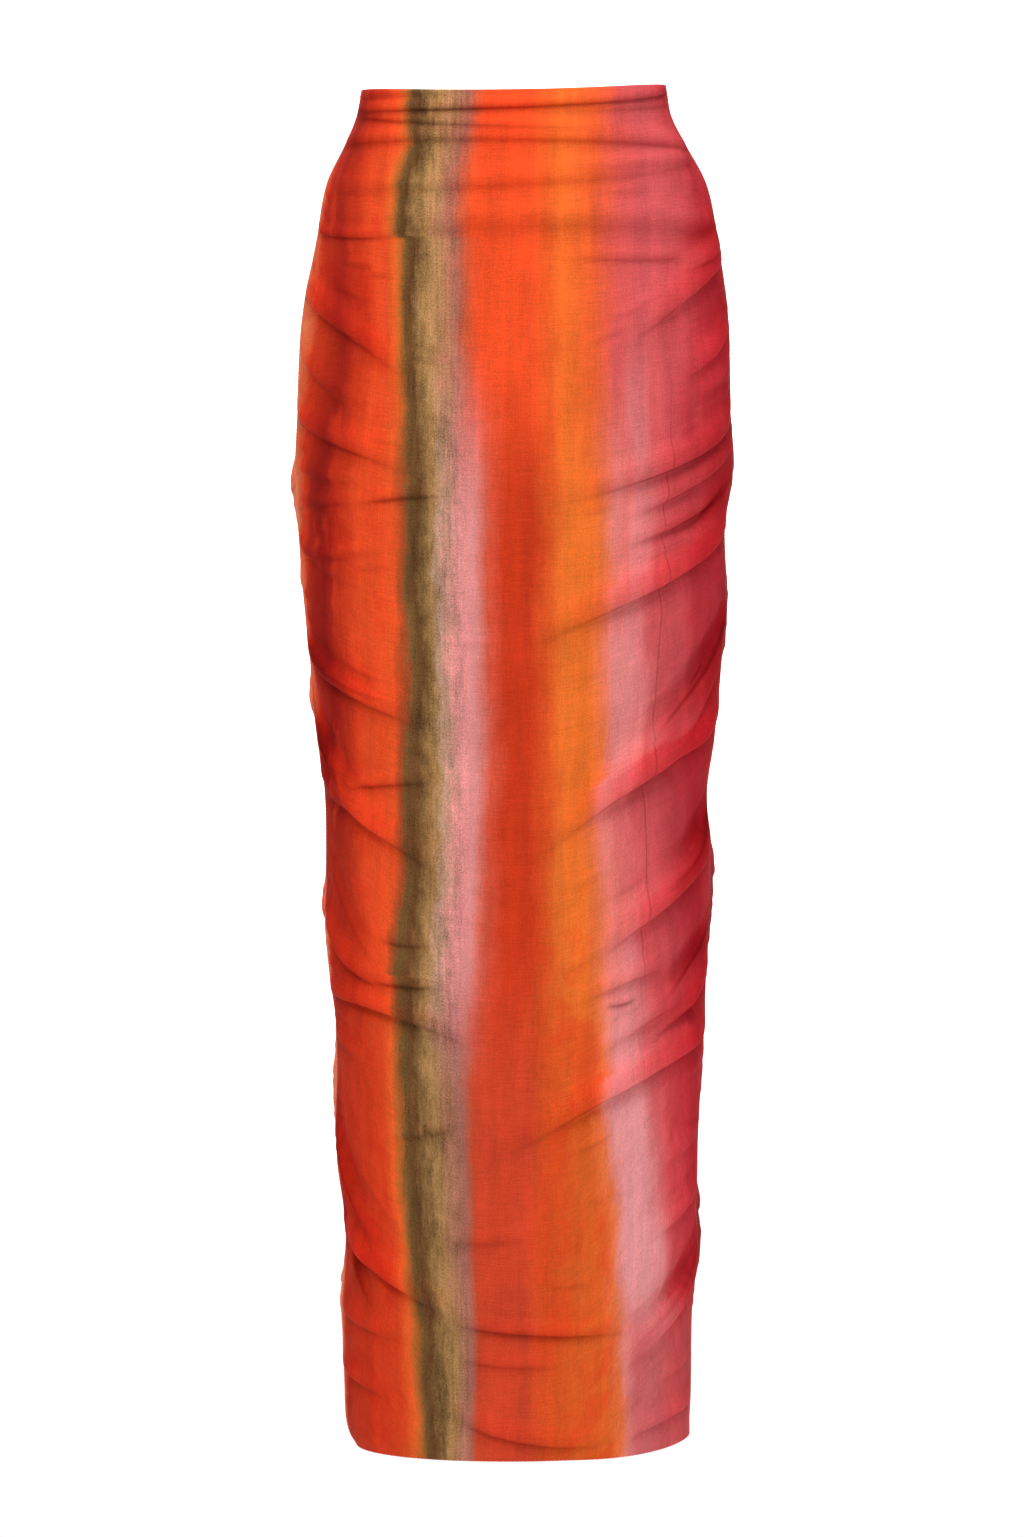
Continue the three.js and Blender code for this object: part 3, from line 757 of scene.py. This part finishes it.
class Nodes:
    """Adds nodes to a material and links them."""

    def __init__(self, material):
        material.use_nodes = True
        self.tree = material.node_tree
        self.tree.nodes.clear()

    def add(self, kind, **settings):
        node = self.tree.nodes.new(kind)
        for key, value in settings.items():
            setattr(node, key, value)
        return node

    def link(self, source, target):
        self.tree.links.new(source, target)

    def feed(self, socket, value):
        if isinstance(value, bpy.types.NodeSocket):
            self.link(value, socket)
        else:
            socket.default_value = value

    def math(self, operation, first, second=0.0, third=0.0, clamp=False):
        node = self.add("ShaderNodeMath", operation=operation, use_clamp=clamp)
        for socket, value in zip(node.inputs, (first, second, third)):
            self.feed(socket, value)
        return node.outputs[0]

    def plus(self, first, second):
        return self.math("ADD", first, second)

    def times(self, first, second):
        return self.math("MULTIPLY", first, second)

    def centred(self, noise, amount):
        """A noise as a swing of so much round nought."""
        return self.math("MULTIPLY_ADD", noise, amount, -0.5 * amount)

    def remap(self, value, low, high, to_low=0.0, to_high=1.0):
        node = self.add("ShaderNodeMapRange", interpolation_type="SMOOTHSTEP")
        for socket, item in zip(node.inputs, (value, low, high, to_low, to_high)):
            self.feed(socket, item)
        return node.outputs[0]

    def scaled_colour(self, colour, gain):
        node = self.add("ShaderNodeVectorMath", operation="SCALE")
        self.link(colour, node.inputs[0])
        self.feed(node.inputs["Scale"], gain)
        return node.outputs[0]

    def mix(self, blend_type, factor, first, second):
        node = self.add("ShaderNodeMix", data_type="RGBA", blend_type=blend_type)
        self.feed(node.inputs[0], factor)
        self.feed(node.inputs[6], first)
        self.feed(node.inputs[7], second)
        return node.outputs[2]

    def washed(self, colour, share, other):
        """A colour with a share of another one laid over it."""
        return self.mix("MIX", share, colour, (*linear(other), 1.0))

    def tinted(self, colour, share, tint):
        """A colour multiplied by a tint where the share is full."""
        return self.mix("MULTIPLY", share, colour, (*tint, 1.0))

    def ramp(self, value, stops):
        node = self.add("ShaderNodeValToRGB")
        self.link(value, node.inputs[0])
        elements = node.color_ramp.elements
        while len(elements) < len(stops):
            elements.new(0.5)
        for element, (place, colour) in zip(elements, sorted(stops.items())):
            element.position = place
            element.color = (*linear(colour), 1.0)
        return node.outputs[0]

    def split_uv(self, name):
        node = self.add("ShaderNodeSeparateXYZ")
        self.link(self.uv(name), node.inputs[0])
        return node.outputs[0], node.outputs[1]

    def uv(self, name):
        return self.add("ShaderNodeUVMap", uv_map=name).outputs[0]

    def attribute(self, name):
        return self.add("ShaderNodeAttribute", attribute_name=name).outputs["Fac"]

    def noise(self, place, grain):
        mapping = self.add("ShaderNodeMapping")
        self.link(place, mapping.inputs[0])
        mapping.inputs["Scale"].default_value = (grain.across, grain.along, grain.across)
        node = self.add("ShaderNodeTexNoise", noise_dimensions="3D")
        self.link(mapping.outputs[0], node.inputs["Vector"])
        node.inputs["Scale"].default_value = 1.0
        node.inputs["Detail"].default_value = grain.detail
        node.inputs["Roughness"].default_value = grain.roughness
        return node.outputs[0]

    def bump(self, height, strength, distance, under=None):
        node = self.add("ShaderNodeBump")
        node.inputs["Strength"].default_value = strength
        node.inputs["Distance"].default_value = distance
        self.link(height, node.inputs["Height"])
        if under is not None:
            self.link(under, node.inputs["Normal"])
        return node.outputs[0]

    def surface(self, colour, roughness, specular, normal=None):
        """The material's surface, joined to its output."""
        node = self.add("ShaderNodeBsdfPrincipled")
        self.feed(node.inputs["Base Color"], colour)
        node.inputs["Roughness"].default_value = roughness
        node.inputs["Specular IOR Level"].default_value = specular
        if normal is not None:
            self.link(normal, node.inputs["Normal"])
        output = self.add("ShaderNodeOutputMaterial")
        self.link(node.outputs[0], output.inputs[0])


def middle_bands(dye):
    """Stops of the dye scale down most of the front."""
    return {
        # painted highlight: amber dye lightened towards petal at the left seam, where the thin cloth is lit
        # from behind
        0.0: blend(dye.amber, dye.petal, 0.35),
        0.04: dye.red,
        0.07: blend(dye.red, dye.core, 0.6),
        0.1: dye.core,
        0.12: blend(dye.core, dye.red, 0.3),
        0.15: dye.red,
        0.18: blend(dye.red, dye.flame, 0.85),
        0.23: shade(dye.flame, 1.03),
        0.27: blend(dye.flame, dye.amber, 0.2),
        0.29: blend(dye.flame, dye.olive, 0.4),
        0.316: shade(dye.olive, 1.1),
        0.342: shade(blend(dye.olive, dye.core, 0.12), 0.98),
        0.366: blend(dye.olive, dye.gold, 0.45),
        0.388: dye.gold,
        0.408: dye.stone,
        0.435: blend(dye.stone, dye.pink, 0.8),
        0.46: blend(dye.pink, dye.petal, 0.3),
        0.5: dye.pink,
        0.52: blend(dye.pink, dye.red, 0.25),
        0.55: blend(dye.pink, dye.red, 0.7),
        0.58: dye.red,
        0.62: shade(dye.red, 0.98),
        0.655: blend(dye.red, dye.amber, 0.45),
        0.69: dye.amber,
        0.76: shade(dye.amber, 1.03),
        0.79: blend(dye.amber, dye.blush, 0.35),
        0.82: blend(dye.amber, dye.blush, 0.9),
        0.86: blend(dye.blush, dye.rose, 0.4),
        0.895: dye.rose,
        0.935: blend(dye.rose, dye.crimson, 0.2),
        0.965: blend(dye.rose, dye.crimson, 0.7),
        1.0: dye.crimson,
    }


def upper_bands(dye):
    """The same stops near the waist, where the reds are brighter and no pink shows."""
    return middle_bands(dye) | {
        0.07: blend(dye.red, dye.core, 0.4),
        0.1: blend(dye.red, dye.core, 0.7),
        0.12: blend(dye.red, dye.core, 0.35),
        0.27: blend(dye.flame, dye.amber, 0.6),
        0.29: blend(dye.amber, dye.olive, 0.3),
        0.366: blend(dye.olive, dye.gold, 0.7),
        0.388: shade(dye.gold, 1.1),
        0.408: shade(blend(dye.gold, dye.mauve, 0.35), 1.1),
        0.435: blend(dye.mauve, dye.coral, 0.1),
        0.46: blend(dye.mauve, dye.coral, 0.5),
        0.5: blend(dye.mauve, dye.coral, 0.9),
        0.52: dye.coral,
        0.55: dye.coral,
        0.58: dye.coral,
        0.62: dye.coral,
        0.655: blend(dye.coral, dye.amber, 0.4),
        0.69: shade(blend(dye.coral, dye.amber, 0.8), 1.05),
        0.76: blend(blend(dye.coral, dye.amber, 0.5), dye.rose, 0.15),
        0.79: blend(blend(dye.coral, dye.amber, 0.4), dye.rose, 0.5),
        0.82: blend(dye.coral, dye.rose, 0.85),
        0.86: dye.rose,
    }


def lower_bands(dye):
    """The same stops above the hem, where the colours are softer."""
    return middle_bands(dye) | {
        0.18: dye.red,
        0.23: blend(dye.red, dye.flame, 0.4),
        0.27: blend(dye.flame, dye.amber, 0.5),
        0.29: blend(dye.amber, dye.olive, 0.35),
        0.408: blend(dye.gold, dye.mauve, 0.5),
        0.435: blend(dye.gold, dye.mauve, 0.8),
        0.46: dye.mauve,
        0.5: blend(dye.mauve, dye.red, 0.45),
        0.52: blend(dye.mauve, dye.red, 0.8),
        0.55: blend(dye.red, dye.pink, 0.14),
        0.58: blend(dye.red, dye.pink, 0.12),
        0.62: blend(dye.red, dye.pink, 0.14),
        0.69: blend(dye.amber, dye.red, 0.4),
        0.76: blend(dye.amber, dye.red, 0.2),
        0.82: dye.petal,
        0.86: dye.petal,
        0.895: blend(dye.petal, dye.rose, 0.7),
        0.935: shade(blend(dye.rose, dye.crimson, 0.4), 1.06),
    }


def back_bands(dye):
    """Stops round the back from the right seam to the left one, where the bands come again."""
    return {
        # painted shade: the crimson is darkened at the right seam, where the back's lobes stand in shadow
        0.0: shade(dye.crimson, 0.62),
        0.03: shade(dye.crimson, 0.8),
        0.06: dye.crimson,
        0.12: blend(dye.crimson, dye.rose, 0.4),
        0.18: dye.rose,
        0.25: blend(dye.rose, dye.blush, 0.7),
        0.29: dye.blush,
        0.32: dye.amber,
        0.41: shade(dye.amber, 0.97),
        0.46: dye.red,
        0.54: dye.red,
        0.59: blend(dye.red, dye.pink, 0.7),
        0.63: dye.pink,
        0.66: dye.stone,
        0.69: dye.gold,
        0.715: dye.olive,
        0.745: dye.olive,
        0.77: dye.flame,
        0.83: dye.red,
        0.87: dye.core,
        0.905: dye.red,
        0.925: dye.flame,
        # painted highlight: amber dye lightened towards petal on the back's lobes at the left seam
        0.95: blend(dye.amber, dye.petal, 0.45),
        1.0: blend(dye.amber, dye.petal, 0.45),
    }


# A spot of cloth: its place in the weave and on the dye scale, its height from hem to waist,
# the noises that several marks share, and how much it is in the heathered olive
Spot = namedtuple("Spot", "weave place height pools blotches heather")


def cloth_spot(n, kind):
    weave = n.uv("weave")
    place, height = n.split_uv("dye")
    heather = 0.0
    if kind == "front":
        heather = n.times(n.remap(place, 0.28, 0.33), n.remap(place, 0.50, 0.42))
    return Spot(weave, place, height, n.noise(weave, POOLS), n.noise(weave, BLOTCHES), heather)


def crept_place(n, spot):
    """The dye creeps along the threads, so that each band has a feathered edge."""
    moved = spot.place
    for grain, swing in ((CREEP, 0.05), (FEATHER, 0.022), (DRIFT, 0.05)):
        moved = n.plus(moved, n.centred(n.noise(spot.weave, grain), swing))
    return n.plus(moved, n.times(n.centred(spot.blotches, 0.045), spot.heather))


def broken_core(n, spot, colour, dye):
    """The dark stripe is broken where it took less dye."""
    core = n.times(n.remap(spot.place, 0.05, 0.09), n.remap(spot.place, 0.17, 0.12))
    gap = n.times(core, n.remap(n.noise(spot.weave, PATCHES), 0.54, 0.66, 0.0, 0.6))
    gap = n.math("MAXIMUM", gap, n.times(core, n.remap(spot.height, 0.52, 0.36, 0.0, 0.7)))
    return n.washed(colour, gap, dye.red)


def inner_end(n, spot, colour):
    """The inner end shows through as a fine dark line, painted shade along its edge, with duskier cloth past
    it, doubled and partly painted shade.
    """
    past, _ = n.split_uv("lap")
    seen = n.times(n.remap(spot.height, 0.80, 0.72), n.remap(spot.height, 0.26, 0.36))
    # painted shade: a fine dark line along the inner end's edge
    line = n.times(n.remap(n.math("ABSOLUTE", past), 0.0011, 0.0003), seen)
    colour = n.tinted(colour, n.times(line, 0.42), (0.35, 0.25, 0.32))
    # duskier cloth past the edge: doubled cloth, partly painted shade
    dusk = n.times(n.remap(past, 0.0, 0.004), seen)
    return n.tinted(colour, n.times(dusk, 0.25), (0.66, 0.60, 0.66))


def brush_marks(n, spot, colour, dye):
    """Pale washes in the pink, and pools where the orange and the reds dried deeper."""
    place, height = spot.place, spot.height
    pink = n.times(n.remap(place, 0.79, 0.83), n.remap(place, 0.92, 0.87))
    brushed = n.times(n.remap(height, 0.86, 0.70), n.remap(n.noise(spot.weave, WASHES), 0.44, 0.62, 0.0, 0.5))
    colour = n.washed(colour, n.times(pink, brushed), dye.petal)
    hem = n.times(n.remap(height, 0.13, 0.07, 0.0, 0.8), n.remap(place, 0.79, 0.83))
    colour = n.washed(colour, hem, shade(dye.rose, 0.96))
    orange = n.times(n.remap(place, 0.60, 0.66), n.remap(place, 0.80, 0.77))
    reddened = n.times(n.remap(height, 0.46, 0.34), n.remap(spot.pools, 0.44, 0.60, 0.0, 0.6))
    colour = n.washed(colour, n.times(orange, reddened), blend(dye.red, dye.flame, 0.3))
    soaked = n.times(n.remap(place, 0.27, 0.24), n.remap(spot.pools, 0.50, 0.66, 0.0, 0.6))
    return n.tinted(colour, soaked, (0.80, 0.46, 0.50))


def front_dye(n, spot, dye):
    moved = crept_place(n, spot)
    colour = n.ramp(moved, middle_bands(dye))
    colour = n.mix("MIX", n.remap(spot.height, 0.67, 0.82), colour, n.ramp(moved, upper_bands(dye)))
    colour = n.mix("MIX", n.remap(spot.height, 0.38, 0.26), colour, n.ramp(moved, lower_bands(dye)))
    colour = broken_core(n, spot, colour, dye)
    colour = inner_end(n, spot, colour)
    return brush_marks(n, spot, colour, dye)


def back_dye(n, spot, dye):
    return n.ramp(crept_place(n, spot), back_bands(dye))


def inner_dye(n, spot, dye):
    middle = blend(dye.rose, dye.crimson, 0.5)
    return n.ramp(crept_place(n, spot), {0.0: dye.rose, 0.6: middle, 1.0: dye.crimson})


DYES = {"front": front_dye, "back": back_dye, "inner": inner_dye}


def dye_tone(n, spot):
    """Brush strokes and pools where the dye dried darker or paler, patchy in the olive."""
    tone = n.plus(n.centred(n.noise(spot.weave, STROKES), 0.48), n.centred(spot.pools, 0.58))
    patchy = n.plus(n.centred(spot.pools, 0.8), n.centred(n.noise(spot.weave, STREAKS), 1.1))
    patchy = n.plus(patchy, n.centred(spot.blotches, 0.8))
    return n.plus(tone, n.times(patchy, spot.heather))


def thread_tone(n, spot):
    """Slubs of the warp and the weft, and a grain that is coarser in the olive."""
    warp = n.centred(n.noise(spot.weave, WARP), 0.32)
    weft = n.centred(n.noise(spot.weave, WEFT), 0.38)
    coarseness = n.math("MULTIPLY_ADD", spot.heather, 0.8, 0.5)
    specks = n.times(n.centred(n.noise(spot.weave, SPECKS), 1.3), coarseness)
    return n.plus(n.plus(warp, weft), specks)


def painted_fold_light(n, spot, colour, kind):
    """Painted light on the folds: a painted highlight on ridges and painted shade in valleys, both partly the
    deeper colour of doubled cloth, and painted shade on creases.
    """
    valley = n.attribute("valley")
    # The painted valley shade is weaker near the left seam, so that edge stays pale
    if kind in LEFT_EDGE:
        valley = n.times(valley, n.remap(spot.place, *LEFT_EDGE[kind], 0.25, 1.0))
    # Painted highlight on ridges, painted shade in valleys and on creases
    for depth, share, tint in (
        (n.attribute("ridge"), 1.0, (1.14, 0.64, 0.66)),
        (valley, 0.85, (0.84, 0.36, 0.40)),
        (n.attribute("crease"), 0.8, (0.40, 0.20, 0.22)),
    ):
        colour = n.tinted(colour, n.math("MULTIPLY", depth, share, clamp=True), tint)
    return colour


def voile(name, dye, kind):
    """Fine plain-weave voile, dip-dyed in soft lengthwise bands."""
    material = bpy.data.materials.new(name)
    n = Nodes(material)
    spot = cloth_spot(n, kind)
    colour = DYES[kind](n, spot, dye)
    threads = thread_tone(n, spot)
    tone = n.plus(dye_tone(n, spot), threads)
    colour = n.scaled_colour(colour, n.plus(tone, 1.0))
    # painted highlight and painted shade of the folds
    colour = painted_fold_light(n, spot, colour, kind)
    if kind != "inner":
        colour = n.washed(colour, n.times(n.attribute("roll"), 0.3), dye.petal)
    ripples = n.bump(n.noise(spot.weave, RIPPLES), 0.5, 0.0022)
    n.surface(colour, 0.9, 0.12, n.bump(threads, 0.35, 0.0003, ripples))
    return material


def thread(name, colour):
    """Fine twisted sewing thread."""
    material = bpy.data.materials.new(name)
    n = Nodes(material)
    twist = n.noise(n.add("ShaderNodeTexCoord").outputs["Object"], TWIST)
    deep, pale = (*linear(shade(colour, 0.82)), 1.0), (*linear(shade(colour, 1.12)), 1.0)
    n.surface(n.mix("MIX", n.remap(twist, 0.35, 0.65), deep, pale), 0.6, 0.5)
    return material


def plain_white(name, colour):
    material = bpy.data.materials.new(name)
    Nodes(material).surface((*linear(colour), 1.0), 0.9, 0.1)
    return material


# Settings


def colour_property(name, description, hex_value):
    red, green, blue = (int(hex_value[i : i + 2], 16) / 255 for i in (0, 2, 4))
    return bpy.props.FloatVectorProperty(
        name=name,
        description=description,
        default=(red, green, blue),
        subtype="COLOR_GAMMA",
        size=3,
        min=0,
        max=1,
    )


def length_property(name, description, default):
    return bpy.props.FloatProperty(name=name, description=description, default=default, unit="LENGTH")


class DyeSettings(bpy.types.PropertyGroup):
    core: colour_property("Core", "Dark crimson stripe near the left side", "8c150f")
    red: colour_property("Red", "Deep red bands", "d23a18")
    flame: colour_property("Flame", "Orange-red beside the olive", "e74d22")
    coral: colour_property("Coral", "Bright red near the waist", "fa5224")
    olive: colour_property("Olive", "Dark olive-brown stripe", "674b28")
    gold: colour_property("Gold", "Olive gold beside it", "a67c4b")
    stone: colour_property("Stone", "Beige-grey edge of the gold", "ba9177")
    mauve: colour_property("Mauve", "Dusky edge of the gold near the hem", "a8695b")
    pink: colour_property("Pink", "Dusty pink band", "e08c88")
    amber: colour_property("Amber", "Orange band", "ef722a")
    blush: colour_property("Blush", "Light pink band", "f08079")
    petal: colour_property("Petal", "Paler pink of that band near the hem", "f29b9b")
    rose: colour_property("Rose", "Dusty rose at the right", "de5b5d")
    crimson: colour_property("Crimson", "Crimson at the right side", "c82a34")


class ClothSettings(bpy.types.PropertyGroup):
    wall: length_property("Cloth", "Thickness of the modelled voile", 0.6 * MM)
    hem_roll: length_property("Hem roll", "Radius of the rolled hem", 0.9 * MM)
    stitch: length_property("Stitch", "Spacing of the hem's whip stitches", 3.2 * MM)
    thread: length_property("Thread", "Radius of the sewing thread", 0.15 * MM)
    crinkles: bpy.props.IntProperty(name="Crinkles", description="Faint creases on each panel", default=90)


class StageSettings(bpy.types.PropertyGroup):
    floor_height: length_property("Floor", "Height of the pale floor", -1.42)
    camera_distance: length_property("Camera distance", "From the column's axis", 4.5)
    camera_height: length_property("Camera height", "Against the waist edge", -0.30)
    aim_height: length_property("Aim height", "Height on the axis at the picture's middle", -0.5405)
    aim_side: length_property("Aim side", "Sideways place of the picture's middle", -0.0016)
    view_height: length_property("View height", "Height that the picture covers on the axis", 1.226)


def settings():
    return bpy.context.scene.sarong


class SarongSettings(bpy.types.PropertyGroup):
    dye: bpy.props.PointerProperty(type=DyeSettings)
    cloth: bpy.props.PointerProperty(type=ClothSettings)
    stage: bpy.props.PointerProperty(type=StageSettings)


Dye = namedtuple("Dye", DyeSettings.__annotations__)


def dye_colours():
    chosen = settings().dye
    return Dye(*(tuple(getattr(chosen, name)) for name in Dye._fields))


def front_folds():
    crinkles = fine_crinkles(FRONT_FOLDS, 11, settings().cloth.crinkles)
    return FRONT_FOLDS + side_puckers(5) + crinkles


def back_folds():
    crinkles = fine_crinkles(BACK_FOLDS, 23, settings().cloth.crinkles)
    return BACK_FOLDS + side_puckers(17) + crinkles


# Sewing


def stitches(name, threads, material):
    """One mesh of short threads, each along its own few points."""
    curve = bpy.data.curves.new(name, "CURVE")
    curve.dimensions = "3D"
    curve.bevel_depth = settings().cloth.thread
    curve.bevel_resolution = 1
    curve.use_fill_caps = True
    for points in threads:
        spline = curve.splines.new("POLY")
        spline.points.add(len(points) - 1)
        for spot, point in zip(spline.points, points):
            spot.co = (*point, 1.0)
    drawn = bpy.data.objects.new(name, curve)
    mesh = bpy.data.meshes.new_from_object(drawn)
    bpy.data.objects.remove(drawn)
    bpy.data.curves.remove(curve)
    obj = smooth_object(name, mesh, [material])
    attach(obj, "root")
    return obj


def evenly(path, spacing):
    """Points a spacing apart along a path."""
    length = np.concatenate([[0.0], np.cumsum(np.linalg.norm(np.diff(path, axis=0), axis=1))])
    places = np.arange(spacing, length[-1] - spacing, spacing)
    return np.stack([np.interp(places, length, path[:, axis]) for axis in range(3)], axis=-1)


def hem_threads(edge):
    """Whip stitches that slant over the rolled hem."""
    cloth = settings().cloth
    spots = evenly(edge, cloth.stitch)
    along = np.gradient(spots, axis=0)
    along /= np.linalg.norm(along, axis=1)[:, None]
    path = spots + outwards(spots) * cloth.thread
    radius = cloth.hem_roll + cloth.thread
    turns = np.linspace(WHIP_FROM, WHIP_TO, WHIP_POINTS)
    arcs = [round_hem(path, radius, turn) + along * STITCH_SLANT * turn for turn in turns]
    return np.stack(arcs, axis=1)


def seam_threads(side):
    """Short stitches that draw the front and back together down a side seam."""
    name = "left" if side < 0 else "right"
    ease = LEFT_EASE if side < 0 else RIGHT_EASE
    drop = np.arange(SEAM_TOP, HEM_DROP - SEAM_FOOT, SEAM_STITCH)
    x = side * (section_value(name, drop) + ease * ease_window(drop))
    ends = ((0.0, -SEAM_BITE, 0.0), (SEAM_PROUD * side, 0.0, -0.5), (0.0, SEAM_BITE, -1.0))
    points = [np.stack([x + dx, np.full_like(x, dy), dz - drop], axis=-1) for dx, dy, dz in ends]
    return np.stack(points, axis=1) * MM


# Pieces


class SARONG_OT_front(bpy.types.Operator):
    """Drape the front of the wrap"""

    bl_idname = "sarong.front"
    bl_label = "Front"

    def execute(self, context):
        mesh, edge = panel("front_cloth", FRONT, front_folds(), FRONT_GRID)
        obj = smooth_object("front_cloth", mesh, [voile("front voile", dye_colours(), "front")])
        face_outwards(obj, FRONT)
        thicken(obj, settings().cloth.wall)
        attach(obj, "root")
        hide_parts("front_wrap")
        sewing = thread("red thread", dye_colours().red)
        hem = stitches("front_hem_stitches", hem_threads(edge), sewing)
        seams = stitches("seam_stitches", np.concatenate([seam_threads(-1), seam_threads(1)]), sewing)
        return {"FINISHED"}


class SARONG_OT_back(bpy.types.Operator):
    """Drape the back of the wrap"""

    bl_idname = "sarong.back"
    bl_label = "Back"

    def execute(self, context):
        mesh, edge = panel("back_cloth", BACK, back_folds(), BACK_GRID, lobes=True)
        obj = smooth_object("back_cloth", mesh, [voile("back voile", dye_colours(), "back")])
        face_outwards(obj, BACK)
        thicken(obj, settings().cloth.wall)
        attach(obj, "root")
        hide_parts("back_wrap")
        hem = stitches("back_hem_stitches", hem_threads(edge), thread("back thread", dye_colours().red))
        return {"FINISHED"}


class SARONG_OT_lap(bpy.types.Operator):
    """Lay the inner end of the wrap behind the front"""

    bl_idname = "sarong.lap"
    bl_label = "Inner end"

    def execute(self, context):
        folds = front_folds()
        angles, rows = swag_rows(FRONT, folds, Grid(FRONT_GRID.columns, LAP_GRID.rows))
        share = np.linspace(0.0, 1.0, LAP_GRID.columns + 1)
        angle = np.empty((LAP_GRID.rows + 1, LAP_GRID.columns + 1))
        drop = np.empty_like(angle)
        for index, row in enumerate(rows):
            start = lap_edge(np.interp(LAP_EDGE_TOP, angles, row))
            angle[index] = start + (SEAM_ANGLE - start) * share
            drop[index] = np.interp(angle[index], angles, row)
        relief = fold_relief(folds, angle, drop)
        fallen = np.clip(drop + LAP_FALL * relief.fall, drop[0], drop[-1])
        points = cloth_points(FRONT, angle, fallen, LAP_LIFT * relief.lift - LAP_INSET)
        uv_maps = {
            "dye": np.stack([np.broadcast_to(share, drop.shape), 1.0 - fallen / HEM_DROP], axis=-1),
            "weave": woven_length(points),
        }
        mesh = grid_mesh("lap_cloth", points, uv_maps, shades(relief))
        obj = smooth_object("lap_cloth", mesh, [voile("inner voile", dye_colours(), "inner")])
        face_outwards(obj, FRONT)
        thicken(obj, settings().cloth.wall)
        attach(obj, "root")
        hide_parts("under_lap")
        return {"FINISHED"}


class SARONG_OT_stage(bpy.types.Operator):
    """Set the pale floor, the soft light and the camera"""

    bl_idname = "sarong.stage"
    bl_label = "Stage"

    def execute(self, context):
        chosen = settings().stage
        self.backdrop(chosen)
        for lamp in LAMPS:
            self.light(lamp)
        world = bpy.data.worlds.new("soft room")
        world.use_nodes = True
        background = world.node_tree.nodes["Background"]
        background.inputs["Color"].default_value = (1.0, 1.0, 1.0, 1.0)
        background.inputs["Strength"].default_value = ROOM_LIGHT
        context.scene.world = world
        context.scene.view_settings.view_transform = "Standard"
        self.camera(context, chosen)
        return {"FINISHED"}

    def backdrop(self, chosen):
        """A floor that sweeps up behind into a wall."""
        work = bmesh.new()
        bmesh.ops.create_grid(work, x_segments=2, y_segments=64, size=BACKDROP_REACH)
        for vert in work.verts:
            past = max(vert.co.y - BACKDROP_BEND, 0.0)
            angle = min(past / BACKDROP_RADIUS, math.pi / 2)
            rest = max(past - BACKDROP_RADIUS * math.pi / 2, 0.0)
            if past:
                vert.co.y = BACKDROP_BEND + BACKDROP_RADIUS * math.sin(angle)
                vert.co.z = BACKDROP_RADIUS * (1 - math.cos(angle)) + rest
        bmesh.ops.translate(work, verts=work.verts, vec=(0.0, 0.0, chosen.floor_height))
        mesh = bpy.data.meshes.new("backdrop")
        work.to_mesh(mesh)
        work.free()
        obj = smooth_object("backdrop", mesh, [plain_white("pale floor", (0.97, 0.97, 0.97))])

    def light(self, lamp):
        data = bpy.data.lights.new(lamp.name, "AREA")
        data.size = lamp.size
        data.energy = lamp.power
        self.aimed(lamp.name, data, Vector(lamp.place), Vector(lamp.aim))

    def aimed(self, name, data, place, aim):
        """A lamp or a camera at a place, turned to look at its aim."""
        obj = bpy.data.objects.new(name, data)
        obj.location = place
        obj.rotation_euler = (aim - place).to_track_quat("-Z", "Y").to_euler()
        bpy.context.scene.collection.objects.link(obj)
        return obj

    def camera(self, context, chosen):
        data = bpy.data.cameras.new("camera")
        data.sensor_fit = "VERTICAL"
        data.sensor_height = 36.0
        data.lens = data.sensor_height * chosen.camera_distance / chosen.view_height
        place = Vector((chosen.aim_side, -chosen.camera_distance, chosen.camera_height))
        aim = Vector((chosen.aim_side, 0.0, chosen.aim_height))
        context.scene.camera = self.aimed("camera", data, place, aim)


class SARONG_PT_panel(bpy.types.Panel):
    """Sarong pieces and settings"""

    bl_label = "Sarong"
    bl_idname = "SARONG_PT_panel"
    bl_space_type = "VIEW_3D"
    bl_region_type = "UI"
    bl_category = "Sarong"

    def draw(self, context):
        for operator in PIECES:
            self.layout.operator(operator.bl_idname)
        chosen = context.scene.sarong
        for group in (chosen.dye, chosen.cloth, chosen.stage):
            box = self.layout.box()
            for name in group.__annotations__:
                box.prop(group, name)


PIECES = (SARONG_OT_stage, SARONG_OT_front, SARONG_OT_back, SARONG_OT_lap)
CLASSES = (DyeSettings, ClothSettings, StageSettings, SarongSettings, *PIECES, SARONG_PT_panel)


def register():
    for cls in CLASSES:
        bpy.utils.register_class(cls)
    bpy.types.Scene.sarong = bpy.props.PointerProperty(type=SarongSettings)


def unregister():
    del bpy.types.Scene.sarong
    for cls in reversed(CLASSES):
        bpy.utils.unregister_class(cls)


def main():
    register()
    bpy.ops.sarong.stage()
    bpy.ops.sarong.front()
    bpy.ops.sarong.back()
    bpy.ops.sarong.lap()


if __name__ == "__main__":
    main()
